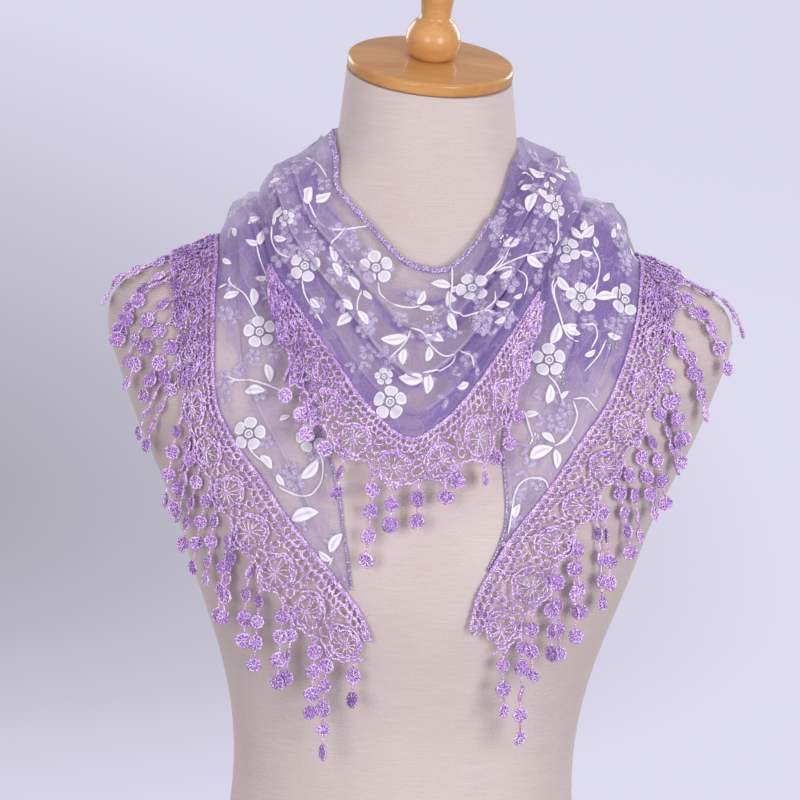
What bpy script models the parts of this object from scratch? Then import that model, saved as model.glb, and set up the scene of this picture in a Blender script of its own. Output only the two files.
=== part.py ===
"""Triangular lace shawl worn bandana-fashion on a limbless dress form.

The shawl's long bound edge makes the neckline. Its point hangs in front, its two ends pass behind the
neck, cross at the nape and come forward over the shoulders as two tails. A crochet border with a
fringe of small discs runs along both short sides. Left is the side of minus X, and the front faces
minus Y. Sizes are in millimetres until the meshes are written in metres.
"""

import math

import bmesh
import bpy
import numpy as np

MM = 0.001

# ---------------------------------------------------------------- driving sizes, mm
CLOTH = 1.3            # wall that stands for the sheer cloth
LACE = 1.7             # wall that stands for the crochet border
SEAM = 0.45            # space between two pieces that are sewn together
REST = 0.3             # gap under a piece that rests on another

CELL = 9.0             # spacing of the lace's columns, half the pitch of the fringe
LACE_WIDTH = 36.0      # the border's usual width
SCALLOP = 3.0          # how far the lace's edge swings in and out where it has its full width
SWING = 0.2            # share of a column that the lace's lines swing aside to widen an opening

STRIP = 2.0            # width of the narrow strip that carries the fringe
LINK = 1.3             # width of the yarn between two crochet discs
DISC = 8.6             # width of a crochet disc
DISC_PITCH = 13.5      # distance from one disc to the next
DISC_TIP = 5.7         # from the last disc's middle to the strand's end
DISC_THICK = 1.5
STAGGER = 2.4          # every second strand hangs this much further out than its neighbours
TURN_DOWN = 90.0       # length over which a leaning strand turns straight down
SINK = 9.0             # length over which a strand goes from its root to its own gap

BRAID = 1.1            # half the side of the braided bindings
NECKLINE_BRAID = 18    # ribs from the left crest on that the neckline's binding covers
TAIL_PLAIN = 9         # ribs from the crest on where a tail's inner edge is tucked in, without binding

FORM_SIDES = 36
FORM_POWER = 2.2       # how square the form's level sections are
NECK_TOP = 690.0       # height of the neck's cut end on the axis
NECK_LEAN = math.radians(18.5)   # the cut end and its cap slope down to the front
NECK_TIP = math.radians(3.8)     # and a little down to the right
CAP_RADIUS = 53.6
CAP_THICK = 8.5
CAP_ROUND = 2.2        # rounding of the cap's rim

# Level sections of the form: height, half width, depth in front of the axis, depth behind it.
FORM_ROWS = np.array([
    # z,  half, front, back
    (0, 147, 105, 112),
    (50, 146, 103, 112),
    (100, 138, 98, 108),
    (150, 126, 92, 100),
    (200, 114, 85, 86),
    (235, 111, 82, 80),
    (275, 114, 86, 80),
    (310, 122, 97, 84),
    (345, 134, 112, 90),
    (375, 145, 120, 95),
    (405, 155, 118, 99),
    (435, 169, 108, 101),
    (465, 183, 96, 102),
    (495, 194, 84, 101),
    (515, 201, 76, 98),
    (530, 202, 70, 94),
    (543, 198, 65, 91),
    (551, 190, 61, 87),
    (558, 175, 59, 82),
    (566, 157, 57, 79),
    (575, 137, 55, 75),
    (584, 122.5, 53, 71),
    (594, 108, 52, 68),
    (604, 94, 51, 65),
    (617, 76, 50, 60),
    (629, 64, 50, 57),
    (643, 59, 50, 55),
    (665, 56, 50, 52),
    (690, 53.5, 50, 50),
    (710, 53, 50, 50),
], dtype=float)

# Heights of the form's rings, closer together on the shoulders and where the neck springs.
FORM_RINGS = (0, 60, 120, 180, 235, 280, 322, 360, 400, 440, 478, 508, 530, 544, 552, 560,
              570, 584, 600, 614, 625, 636, 652, NECK_TOP)

# Turned finial on the cap: radius, height above the cap.
FINIAL_ROWS = ((13.0, 0.0), (15.6, 3.0), (17.3, 7.6), (17.8, 12.4), (16.6, 17.6), (13.4, 22.6),
               (10.4, 25.6), (9.7, 28.0), (9.9, 33.0), (10.8, 40.0), (12.0, 48.0), (13.2, 56.0),
               (13.2, 62.5), (10.6, 67.5), (5.6, 70.6))

# The shawl's front: a rib runs from the neckline to the lace seam, from the left shoulder's crest to
# the right one's. The gaps say how far the cloth stands off the form at each end and in between.
FRONT_RIBS = np.array([
    # neckline x, y, z,    seam x, y, z,      neck gap, puff, seam gap, fold depth
    (-62, -0.25, 650,       -104, -0.25, 610,      3.4, 13.0, 11.0, 1.0),
    (-61, -28, 636,      -101, -33, 590,     3.4, 12.0, 11.0, 2.0),
    (-58, -46, 617,      -95, -60, 566,      4.0, 9.0, 9.8, 3.0),
    (-49, -53, 606,      -85, -67, 551,      5.0, 7.0, 10.0, 4.0),
    (-38, -57, 595,      -69, -77, 531,      6.0, 5.0, 10.2, 4.6),
    (-24, -62, 581,      -50, -89, 508,      6.5, 4.0, 10.4, 5.0),
    (-11, -65, 570,      -31, -99, 484,      6.5, 4.0, 10.4, 5.2),
    (2, -66, 566,        -6, -107, 465,      6.5, 4.0, 10.4, 5.2),
    (14, -66, 566,       13, -103, 473,      6.5, 4.0, 10.4, 5.2),
    (24, -64, 573,       29, -97, 490,       6.5, 4.0, 10.4, 5.0),
    (34, -60, 585,       46, -87, 513,       6.0, 5.0, 10.4, 4.6),
    (42, -57, 599,       61, -78, 537,       5.0, 8.0, 10.2, 4.0),
    (49, -49, 615,       73, -68, 556,       4.4, 12.0, 10.0, 3.2),
    (55, -32, 635,       83, -50, 578,       4.0, 16.0, 11.0, 2.0),
    (59, -0.25, 651,        96, -0.25, 612,        3.6, 18.0, 14.0, 1.0),
], dtype=float)

# The front border: from its seam to its scalloped edge.
FRONT_LACE = np.array([
    # seam x, y, z,        edge x, y, z,       seam gap, edge gap
    (-95, -60, 566,      -97, -62, 558,      9.8, 9.8),
    (-85, -67, 551,      -93, -75, 531,      10.0, 10.4),
    (-69, -77, 531,      -86, -82, 510,      10.2, 11.0),
    (-50, -89, 508,      -75, -92, 484,      10.4, 11.0),
    (-31, -99, 484,      -60, -104, 461,     10.4, 11.0),
    (-19, -103, 473,     -38, -112, 444,     10.4, 11.0),
    (-6, -107, 465,      -11, -118, 430,     10.4, 11.0),
    (8, -104, 470,       17, -116, 436,      10.4, 11.0),
    (29, -97, 490,       46, -110, 452,      10.4, 11.0),
    (46, -87, 513,       63, -96, 484,       10.4, 11.0),
    (61, -78, 537,       72, -82, 519,       10.2, 11.0),
    (73, -68, 556,       77, -71, 546,       10.0, 10.4),
], dtype=float)

# A tail: ribs run from its bound inner edge to the lace seam, from the shoulder's crest downwards.
LEFT_TAIL = np.array([
    # inner x, y, z,       seam x, y, z,       inner gap, puff, seam gap, fold depth
    (-106, -0.25, 604,    -130, -0.25, 579,    8.0, 7.0, 1.9, 1.5),
    (-103, -30, 588,    -130, -26, 574,    6.0, 6.0, 1.9, 2.0),
    (-97, -54, 565,    -130, -45, 562,    2.0, 2.5, 1.2, 2.4),
    (-91, -64, 546,    -130, -57, 542,    1.2, 0.5, 1.2, 2.4),
    (-84, -72, 522,    -129, -65, 517,    1.2, 0.0, 1.2, 2.0),
    (-78, -80, 500,    -128, -71, 495,    1.2, 0.0, 1.2, 1.6),
    (-72, -88, 480,    -124, -77, 475,    1.2, 0.0, 1.2, 1.4),
    (-63, -97, 460,    -112, -87, 455,    1.2, 0.0, 1.2, 1.2),
    (-53, -106, 439,    -97, -96, 438,    1.2, 0.0, 1.2, 1.2),
    (-46, -114, 420,    -81, -106, 418,    1.2, 0.0, 1.2, 1.0),
    (-42, -119, 401,    -65, -114, 399,    1.2, 0.0, 1.2, 0.6),
    (-39, -121, 384,    -50, -119, 383,    1.2, 0.0, 1.2, 0.2),
    (-37, -121, 370,    -40, -121, 370,    1.2, 0.0, 1.2, 0.0),
], dtype=float)

LEFT_LACE = np.array([
    # seam x, y, z,        edge x, y, z,       seam gap, edge gap
    (-130, -0.25, 579,    -163, -0.25, 563,    1.9, 1.3),
    (-130, -26, 578,    -163, -24, 562,    1.9, 1.3),
    (-130, -45, 562,    -161, -38, 549,    1.2, 1.1),
    (-130, -57, 542,    -158, -47, 535,    1.2, 1.1),
    (-129, -65, 517,    -155, -56, 508,    1.2, 1.1),
    (-128, -71, 495,    -152, -61, 484,    1.2, 1.1),
    (-124, -77, 475,    -146, -68, 459,    1.2, 1.1),
    (-112, -87, 455,    -138, -75, 437,    1.2, 1.8),
    (-97, -96, 438,    -126, -82, 415,    1.2, 3.0),
    (-81, -106, 418,    -112, -90, 393,    1.2, 4.0),
    (-65, -114, 399,    -96, -98, 372,    1.2, 5.0),
    (-50, -119, 383,    -79, -104, 351,    1.2, 6.0),
    (-40, -121, 370,    -60, -105, 331,    1.2, 6.5),
    (-30, -119, 356,    -42, -105, 323,    1.8, 6.5),
    (-23, -113, 341,    -27, -106, 325,    4.0, 6.0),
], dtype=float)

RIGHT_TAIL = np.array([
    # inner x, y, z,       seam x, y, z,       inner gap, puff, seam gap, fold depth
    (99, -0.25, 609,    137, -0.25, 576,    9.0, 9.0, 1.8, 1.5),
    (94, -26, 598,    138, -26, 569,    6.0, 7.0, 1.5, 2.0),
    (86, -48, 580,    138, -44, 560,    3.6, 3.0, 1.4, 2.4),
    (81, -60, 557,    135, -57, 537,    1.4, 1.0, 1.2, 2.4),
    (78, -70, 533,    130, -64, 518,    1.2, 0.5, 1.2, 2.2),
    (73, -79, 510,    124, -71, 501,    1.2, 0.0, 1.2, 2.0),
    (66, -87, 489,    116, -77, 484,    1.2, 0.0, 1.2, 1.6),
    (60, -98, 463,    101, -88, 463,    1.2, 0.0, 1.2, 1.4),
    (60, -106, 440,    88, -98, 443,    1.2, 0.0, 1.2, 1.0),
    (59, -112, 421,    75, -107, 426,    1.2, 0.0, 1.2, 0.6),
    (54, -117, 402,    60, -115, 407,    1.2, 0.0, 1.2, 0.2),
    (47, -120, 386,    49, -119, 389,    1.2, 0.0, 1.2, 0.0),
], dtype=float)

RIGHT_LACE = np.array([
    # seam x, y, z,        edge x, y, z,       seam gap, edge gap
    (137, -0.25, 576,    168, -0.25, 561,    1.8, 1.1),
    (138, -26, 569,    168, -24, 557,    1.5, 1.1),
    (138, -44, 560,    164, -36, 547,    1.4, 1.1),
    (135, -57, 537,    160, -47, 531,    1.2, 1.1),
    (130, -64, 518,    157, -54, 508,    1.2, 1.1),
    (124, -71, 501,    152, -61, 488,    1.2, 1.1),
    (116, -77, 484,    145, -67, 470,    1.2, 2.2),
    (101, -88, 463,    131, -76, 446,    1.2, 2.8),
    (88, -98, 443,    119, -84, 428,    1.2, 3.6),
    (75, -107, 426,    106, -93, 409,    1.2, 4.6),
    (60, -115, 407,    95, -100, 391,    1.2, 5.6),
    (49, -119, 389,    85, -103, 369,    1.2, 6.4),
    (40, -119, 370,    70, -104, 347,    1.8, 6.8),
    (36, -114, 349,    55, -103, 331,    4.0, 6.8),
], dtype=float)

# Behind the neck: each wrap runs from one shoulder's crest to the other, upper edge to lace seam.
# The over wrap starts beside the neck on the left, the under wrap beside the neck on the right.
OVER_WRAP = np.array([
    # upper x, y, z,       lower x, y, z,      upper gap, puff, lower gap, fold depth
    (-62, 0.25, 650,        -104, 0.25, 610,       3.4, 13.0, 11.0, 1.0),
    (-58, 26, 652,       -104, 38, 596,      8.0, 9.0, 10.4, 1.6),
    (-42, 46, 655,       -90, 68, 580,       9.6, 5.0, 10.4, 2.4),
    (-20, 56, 658,       -58, 84, 566,       9.8, 3.0, 10.4, 3.0),
    (8, 58, 658,         -18, 90, 556,       9.8, 3.0, 10.4, 3.4),
    (34, 50, 652,        24, 92, 548,        9.8, 3.0, 10.4, 3.4),
    (58, 42, 640,        66, 88, 546,        9.8, 3.0, 10.4, 3.0),
    (78, 34, 628,        104, 72, 554,       9.8, 3.0, 10.0, 2.6),
    (98, 17, 611,        130, 42, 561,       9.8, 5.0, 7.0, 2.0),
    (99, 0.25, 609,         137, 0.25, 576,        9.0, 9.0, 3.0, 1.5),
], dtype=float)

UNDER_WRAP = np.array([
    # upper x, y, z,       lower x, y, z,      upper gap, puff, lower gap, fold depth
    (59, 0.25, 651,    96, 0.25, 612,    3.6, 18.0, 14.0, 1.0),
    (53, 22, 650,    92, 24, 606,    1.5, 5.0, 5.0, 1.4),
    (38, 43, 652,    74, 56, 588,    1.5, 0.5, 1.5, 1.8),
    (18, 53, 654,    44, 72, 574,    1.5, 0.0, 1.5, 2.2),
    (-8, 54, 652,    6, 80, 562,    1.5, 0.0, 1.5, 2.2),
    (-34, 49, 644,    -36, 84, 554,    1.5, 0.0, 1.5, 2.2),
    (-60, 42, 630,    -76, 76, 552,    1.5, 0.0, 1.5, 2.2),
    (-88, 30, 618,    -112, 54, 560,    1.5, 1.0, 1.5, 2.0),
    (-102, 14, 613,    -128, 28, 574,    4.5, 4.0, 1.7, 1.6),
    (-106, 0.25, 604,    -130, 0.25, 579,    8.0, 7.0, 1.9, 1.5),
], dtype=float)

BACK_LEFT_LACE = np.array([
    # seam x, y, z,        edge x, y, z,       seam gap, edge gap
    (-130, 0.25, 579,    -163, 0.25, 563,    1.9, 1.3),
    (-128, 28, 574,    -162, 28, 558,    1.7, 1.3),
    (-112, 54, 560,    -148, 62, 536,    1.5, 1.1),
    (-76, 76, 552,    -104, 88, 520,    1.5, 1.1),
    (-36, 84, 554,    -50, 95, 512,    1.5, 1.1),
], dtype=float)

BACK_RIGHT_LACE = np.array([
    # seam x, y, z,        edge x, y, z,       seam gap, edge gap
    (137, 0.25, 576,        168, 0.25, 561,        3.0, 2.0),
    (130, 42, 564,       163, 42, 545,       7.0, 5.0),
    (104, 72, 554,       128, 84, 525,       10.0, 8.0),
    (66, 88, 546,        78, 98, 511,        10.4, 9.0),
    (24, 92, 548,        26, 104, 508,       10.4, 9.4),
    (-18, 90, 556,       -26, 104, 514,      10.4, 9.4),
], dtype=float)

# Fringes: station from 0 at the shoulder or left end to 1, outward lean, discs, gap from the form.
SIDE_FRINGE = np.array([
    # station, lean, discs, gap
    (0.00, 0.90, 4, 1.2),
    (0.12, 0.76, 4, 1.2),
    (0.30, 0.50, 4, 1.2),
    (0.50, 0.38, 4, 1.2),
    (0.65, 0.22, 4, 2.6),
    (0.80, 0.12, 4, 4.0),
    (0.88, 0.10, 3, 4.6),
    (0.95, 0.05, 5, 5.6),
    (1.00, 0.05, 1, 6.0),
], dtype=float)

FRONT_FRINGE = np.array([
    # station, lean, discs, gap
    (0.00, 0.50, 1, 10.4),
    (0.36, 0.30, 1, 10.8),
    (0.42, 0.12, 2, 10.8),
    (0.46, 0.05, 4, 10.8),
    (0.50, 0.05, 2, 10.8),
    (0.55, 0.05, 2, 10.8),
    (0.60, 0.05, 1, 10.8),
    (0.66, 0.10, 2, 10.8),
    (0.72, 0.20, 1, 10.8),
    (1.00, 0.45, 1, 10.4),
], dtype=float)

BACK_FRINGE = np.array([
    # station, lean, discs, gap
    (0.00, 0.85, 4, 1.2),
    (0.20, 0.55, 4, 1.2),
    (0.50, 0.10, 4, 2.4),
    (1.00, 0.00, 3, 3.0),
], dtype=float)

# The lace's lines of points: share of its width, and which way they swing to widen the openings.
LACE_LINES = (0.0, 0.16, 0.46, 0.62, 0.88, 1.0)
LACE_SWING = (0, 1, 1, -1, -1, 0)

# Materials: colour, roughness, metallic.
LOOKS = {
    "linen": ((0.70, 0.61, 0.55), 0.85, 0.0),
    "varnished_wood": ((0.55, 0.27, 0.09), 0.30, 0.0),
    "sheer_lilac": ((0.36, 0.28, 0.56), 0.60, 0.0),
    "crochet_yarn": ((0.42, 0.21, 0.56), 0.55, 0.0),
    "bound_edge": ((0.34, 0.24, 0.52), 0.60, 0.0),
}


# ---------------------------------------------------------------- smooth tables
def smooth(at, stations, values):
    """Values of a table's columns at the given stations, on a smooth curve through its rows."""
    at = np.clip(at, stations[0], stations[-1])
    step = np.diff(stations)
    slope = np.diff(values, axis=0) / step[:, None]
    turn = np.empty_like(values)
    turn[0] = slope[0]
    turn[-1] = slope[-1]
    before = step[:-1, None]
    after = step[1:, None]
    turn[1:-1] = (slope[:-1] * after + slope[1:] * before) / (before + after)
    row = np.clip(np.searchsorted(stations, at) - 1, 0, len(step) - 1)
    width = step[row][..., None]
    t = ((at - stations[row]) / step[row])[..., None]
    rise = t * t * (3 - 2 * t)
    return (values[row] * (1 - rise) + values[row + 1] * rise
            + turn[row] * width * t * (1 - t) ** 2
            + turn[row + 1] * width * t * t * (t - 1))


def run_along(curve):
    """Stations along a table's curve, close together, and the length run up to each."""
    fine = np.linspace(0, len(curve) - 1, 40 * len(curve))
    points = smooth(fine, np.arange(len(curve), dtype=float), curve)
    return fine, np.concatenate([[0], np.cumsum(np.linalg.norm(np.diff(points, axis=0), axis=1))])


def even_stations(curve, pitch):
    """Stations from 0 to the last row that cut the curve into equal pieces of about the pitch."""
    fine, run = run_along(curve)
    count = round(run[-1] / pitch) + 1
    return np.interp(np.linspace(0, run[-1], count), run, fine)


# ---------------------------------------------------------------- the form as a distance
def level(points):
    """1 on the form's surface, more outside it."""
    half, front, back = np.moveaxis(smooth(points[..., 2], FORM_ROWS[:, 0], FORM_ROWS[:, 1:]), -1, 0)
    depth = np.where(points[..., 1] < 0, front, back)
    across = (np.abs(points[..., 0]) / half) ** FORM_POWER
    along = (np.abs(points[..., 1]) / depth) ** FORM_POWER
    return (across + along) ** (1 / FORM_POWER)


def off_form(points):
    """Distance from the form's surface, and the direction that leads away from it."""
    reach = 0.5
    slope = np.empty_like(points)
    for axis in range(3):
        nudge = np.zeros(3)
        nudge[axis] = reach
        slope[..., axis] = (level(points + nudge) - level(points - nudge)) / (2 * reach)
    size = np.linalg.norm(slope, axis=-1)
    return (level(points) - 1) / size, slope / size[..., None]


def seat(points, gap):
    """Moves points straight to or from the form until they stand off it by the gap."""
    tries = 8
    for _ in range(tries):
        distance, away = off_form(points)
        points = points + away * (gap - distance)[..., None]
    return points, off_form(points)[1]


# ---------------------------------------------------------------- meshes
def material(name):
    made = bpy.data.materials.get(name)
    if made:
        return made
    colour, roughness, metallic = LOOKS[name]
    made = bpy.data.materials.new(name)
    made.use_nodes = True
    shader = made.node_tree.nodes["Principled BSDF"]
    shader.inputs["Base Color"].default_value = (*colour, 1)
    shader.inputs["Roughness"].default_value = roughness
    shader.inputs["Metallic"].default_value = metallic
    made.diffuse_color = (*colour, 1)
    return made


def node(name, points, faces, look, origin=(0.0, 0.0, 0.0)):
    """A closed mesh in metres with its faces outward, and its object's origin at the given point."""
    origin = np.array(origin)
    mesh = bpy.data.meshes.new(name)
    mesh.from_pydata(((np.array(points) - origin) * MM).tolist(), [], faces)
    work = bmesh.new()
    work.from_mesh(mesh)
    bmesh.ops.delete(work, geom=[v for v in work.verts if not v.link_faces], context="VERTS")
    bmesh.ops.recalc_face_normals(work, faces=work.faces)
    if work.calc_volume(signed=True) < 0:
        bmesh.ops.reverse_faces(work, faces=work.faces)
    work.to_mesh(mesh)
    work.free()
    mesh.materials.append(material(look))
    made = bpy.data.objects.new(name, mesh)
    made.location = origin * MM
    bpy.context.scene.collection.objects.link(made)
    return made


def wall(name, inside, outside, look, is_open=None):
    """A wall between two grids of points, with the open cells cut through."""
    rows, columns = inside.shape[:2]
    points = np.concatenate([inside.reshape(-1, 3), outside.reshape(-1, 3)])
    shift = rows * columns
    solid = np.ones((rows + 1, columns + 1), dtype=bool)
    solid[0] = solid[-1] = False
    solid[:, 0] = solid[:, -1] = False
    if is_open is not None:
        solid[1:-1, 1:-1] &= ~is_open
    faces = []
    for i in range(rows - 1):
        for j in range(columns - 1):
            if not solid[i + 1, j + 1]:
                continue
            a = i * columns + j
            b = a + 1
            c = a + columns + 1
            d = a + columns
            faces += [(a, b, c), (a, c, d)]
            faces += [(a + shift, c + shift, b + shift), (a + shift, d + shift, c + shift)]
            sides = ((solid[i, j + 1], a, b), (solid[i + 1, j + 2], b, c),
                     (solid[i + 2, j + 1], c, d), (solid[i + 1, j], d, a))
            for met, start, end in sides:
                if not met:
                    faces.append((end, start, start + shift, end + shift))
    return node(name, points, faces, look, inside[0, 0])


def tube(name, rings, look, origin):
    """A closed tube through rings of points, with flat ends."""
    count, sides = rings.shape[:2]
    faces = []
    for i in range(count - 1):
        for j in range(sides):
            k = (j + 1) % sides
            faces.append((i * sides + j, i * sides + k, (i + 1) * sides + k, (i + 1) * sides + j))
    faces.append(tuple(range(sides)))
    faces.append(tuple(range((count - 1) * sides, count * sides)))
    return node(name, rings.reshape(-1, 3), faces, look, origin)


# ---------------------------------------------------------------- the dress form
def neck_ways():
    """Directions of the neck's end: across it, from its front to its back, and out of it."""
    across = np.array([math.cos(NECK_TIP), 0, -math.sin(NECK_TIP)])
    back = np.array([math.sin(NECK_LEAN) * math.sin(NECK_TIP), math.cos(NECK_LEAN),
                     math.sin(NECK_LEAN) * math.cos(NECK_TIP)])
    return across, back, np.cross(across, back)


def dress_form():
    angles = np.linspace(0, 2 * math.pi, FORM_SIDES, endpoint=False)
    cosine = np.cos(angles)
    sine = np.sin(angles)
    rings = []
    for z in FORM_RINGS:
        half, front, back = smooth(np.array([float(z)]), FORM_ROWS[:, 0], FORM_ROWS[:, 1:])[0]
        depth = np.where(sine < 0, front, back)
        x = half * np.sign(cosine) * np.abs(cosine) ** (2 / FORM_POWER)
        y = depth * np.sign(sine) * np.abs(sine) ** (2 / FORM_POWER)
        ring = np.stack([x, y, np.full(FORM_SIDES, float(z))], axis=-1)
        if z == NECK_TOP:
            across, back, _ = neck_ways()
            ring = np.array([0, 0, z]) + x[:, None] * across + y[:, None] / math.cos(NECK_LEAN) * back
        rings.append(ring)
    return tube("dress_form", np.array(rings), "linen", (0.0, 0.0, 0.0))


def turned(name, profile, sides, look):
    """A turned piece on the neck's sloping end: profile rows are radius and height above the end."""
    across, back, out = neck_ways()
    foot = np.array([0, 0, NECK_TOP])
    angles = np.linspace(0, 2 * math.pi, sides, endpoint=False)[:, None]
    around = np.cos(angles) * across + np.sin(angles) * back
    rings = [foot + out * height + around * radius for radius, height in profile]
    return tube(name, np.array(rings), look, foot)


def neck_cap():
    low = REST
    top = low + CAP_THICK
    inner = CAP_RADIUS - CAP_ROUND
    profile = ((inner, low), (CAP_RADIUS, low + CAP_ROUND), (CAP_RADIUS, top - CAP_ROUND),
               (inner + 0.4 * CAP_ROUND, top - 0.4 * CAP_ROUND), (inner - CAP_ROUND, top))
    return turned("neck_cap", profile, 36, "varnished_wood")


def finial():
    low = 2 * REST + CAP_THICK
    return turned("finial", [(r, low + h) for r, h in FINIAL_ROWS], 16, "varnished_wood")


# ---------------------------------------------------------------- cloth
def cloth(name, ribs, rows, folds, drift):
    """A draped wall: ribs joined smoothly along their stations, seated off the form, with folds.

    It returns the grid of points on the wall's inner side, a row for each rib.
    """
    keys = np.arange(len(ribs), dtype=float)
    stations = even_stations(ribs[:, 3:6], 2 * CELL)
    made = smooth(stations, keys, ribs)
    first = made[:, None, 0:3]
    last = made[:, None, 3:6]
    t = np.linspace(0, 1, rows)[None, :].clip(1e-9, 1 - 1e-9)
    flat = first + (last - first) * t[..., None]
    along = (stations / keys[-1])[:, None]
    neck_gap, puff, seam_gap, depth = (made[:, None, k] for k in range(6, 10))
    calm = np.sin(math.pi * t) ** 0.5
    wave = 0.5 - 0.5 * np.cos(2 * math.pi * (folds * t + drift * along))
    gap = neck_gap + (seam_gap - neck_gap) * t + puff * np.sin(math.pi * t) ** 1.2 + depth * wave * calm
    inside, away = seat(flat, gap)
    wall(name, inside, inside + away * CLOTH, "sheer_lilac")
    return inside


def sewn_stretch(seam, border):
    """The points of a cloth's seam that a border is sewn to, in the border's own order."""
    first = int(np.argmin(np.linalg.norm(seam - border[0, 0:3], axis=1)))
    last = int(np.argmin(np.linalg.norm(seam - border[-1, 0:3], axis=1)))
    way = 1 if last > first else -1
    return seam[np.arange(first, last + way, way)]


def lace_grid(border, seam):
    """The border's columns and rows of points on the form.

    The columns start on the cloth's seam edge, two to each of its pieces, and run on past its end
    where the border does.
    """
    keys = np.arange(len(border), dtype=float)
    fine, run = run_along(border[:, 0:3])
    halves = 0.5 * (seam[:-1] + seam[1:])
    sewn = np.empty((2 * len(seam) - 1, 3))
    sewn[0::2] = seam
    sewn[1::2] = halves
    piece = np.linalg.norm(np.diff(sewn, axis=0), axis=1)
    reached = np.concatenate([[0], np.cumsum(piece)])
    beyond = 2 * round(max(0.0, run[-1] - reached[-1]) / (2 * CELL))
    more = np.linspace(reached[-1], run[-1], beyond + 1)[1:] if beyond else np.empty(0)
    if not beyond:
        reached = reached * run[-1] / reached[-1]
    reached = np.concatenate([reached, more])
    stations = np.interp(reached, run, fine)
    cells = len(stations) - 1
    tail = smooth(stations[len(sewn):], keys, border)
    if beyond:
        sewn = np.concatenate([sewn, seat(tail[:, 0:3], tail[:, 6])[0]])
    number = np.arange(cells + 1)
    swing = np.where(number % 2 == 0, SWING, -SWING)
    swing[0] = swing[-1] = 0
    grid = []
    for row, share in enumerate(LACE_LINES):
        side = LACE_SWING[row]
        at_station = np.interp(number + side * swing, number, stations)
        made = smooth(at_station, keys, border)
        first = np.stack([np.interp(number + side * swing, number, sewn[:, k]) for k in range(3)], axis=-1)
        last = made[:, 3:6]
        width = np.linalg.norm(last - first, axis=1)
        if row == 0:
            pull = last - first
            away = off_form(first)[1]
            pull -= away * np.sum(pull * away, axis=1)[:, None]
            grid.append(first + SEAM * pull / np.linalg.norm(pull, axis=1)[:, None])
            continue
        at = np.full(len(number), share)
        if row == len(LACE_LINES) - 1:
            scallop = SCALLOP * np.minimum(1, width / LACE_WIDTH)
            at += scallop / width * np.cos(math.pi / 2 * number)
        gap = made[:, 6] + (made[:, 7] - made[:, 6]) * at
        grid.append(seat(first + (last - first) * at[:, None], gap)[0])
    return np.stack(grid, axis=1)


def lace(name, border, cloth_grid):
    """The crochet border, with the largest openings of each repeat cut through in two rows."""
    grid = lace_grid(border, sewn_stretch(cloth_grid[:, -1], border))
    away = off_form(grid)[1]
    is_open = np.zeros((grid.shape[0] - 1, grid.shape[1] - 1), dtype=bool)
    is_open[1:-1:2, 1] = True
    is_open[2:-1:2, 3] = True
    wall(name, grid, grid + away * LACE, "crochet_yarn", is_open)
    return grid


# ---------------------------------------------------------------- fringe
def hang(roots, outward, lean, length, gap):
    """Paths of strands that leave their roots outward, slide over the form and hang."""
    step = 3.0
    near = 1.0
    down = np.array([0, 0, -1.0])
    place = roots
    start_gap = off_form(roots)[0]
    paths = [place]
    for k in range(int(length / step) + 2):
        distance, away = off_form(place)
        share = lean[:, None] * max(0.0, 1 - k * step / TURN_DOWN)
        heading = outward * share + down * (1 - share)
        press = np.minimum(np.sum(heading * away, axis=1), 0)
        touching = distance < gap + near
        heading = heading - away * (press * touching)[:, None]
        heading /= np.linalg.norm(heading, axis=1)[:, None]
        place = place + heading * step
        distance, away = off_form(place)
        sunk = min(1.0, (k + 1) * step / SINK)
        least = start_gap + (gap - start_gap) * sunk
        place = place + away * np.maximum(least - distance, 0)[:, None]
        paths.append(place)
    return np.stack(paths, axis=1), step


def square_off(edge, inner):
    """Directions along the form that lead off an edge, away from the inner line.

    A step along one of them leaves every face of the edge equally far behind.
    """
    away = off_form(edge)[1]
    faces = np.cross(np.diff(edge, axis=0), 0.5 * (away[:-1] + away[1:]))
    faces *= np.sign(np.sum(faces * (edge - inner)[:-1], axis=1))[:, None]
    faces /= np.linalg.norm(faces, axis=1)[:, None]
    before = np.concatenate([faces[:1], faces])
    after = np.concatenate([faces, faces[-1:]])
    middle = before + after
    return middle / np.sum(middle * after, axis=1)[:, None]


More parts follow.
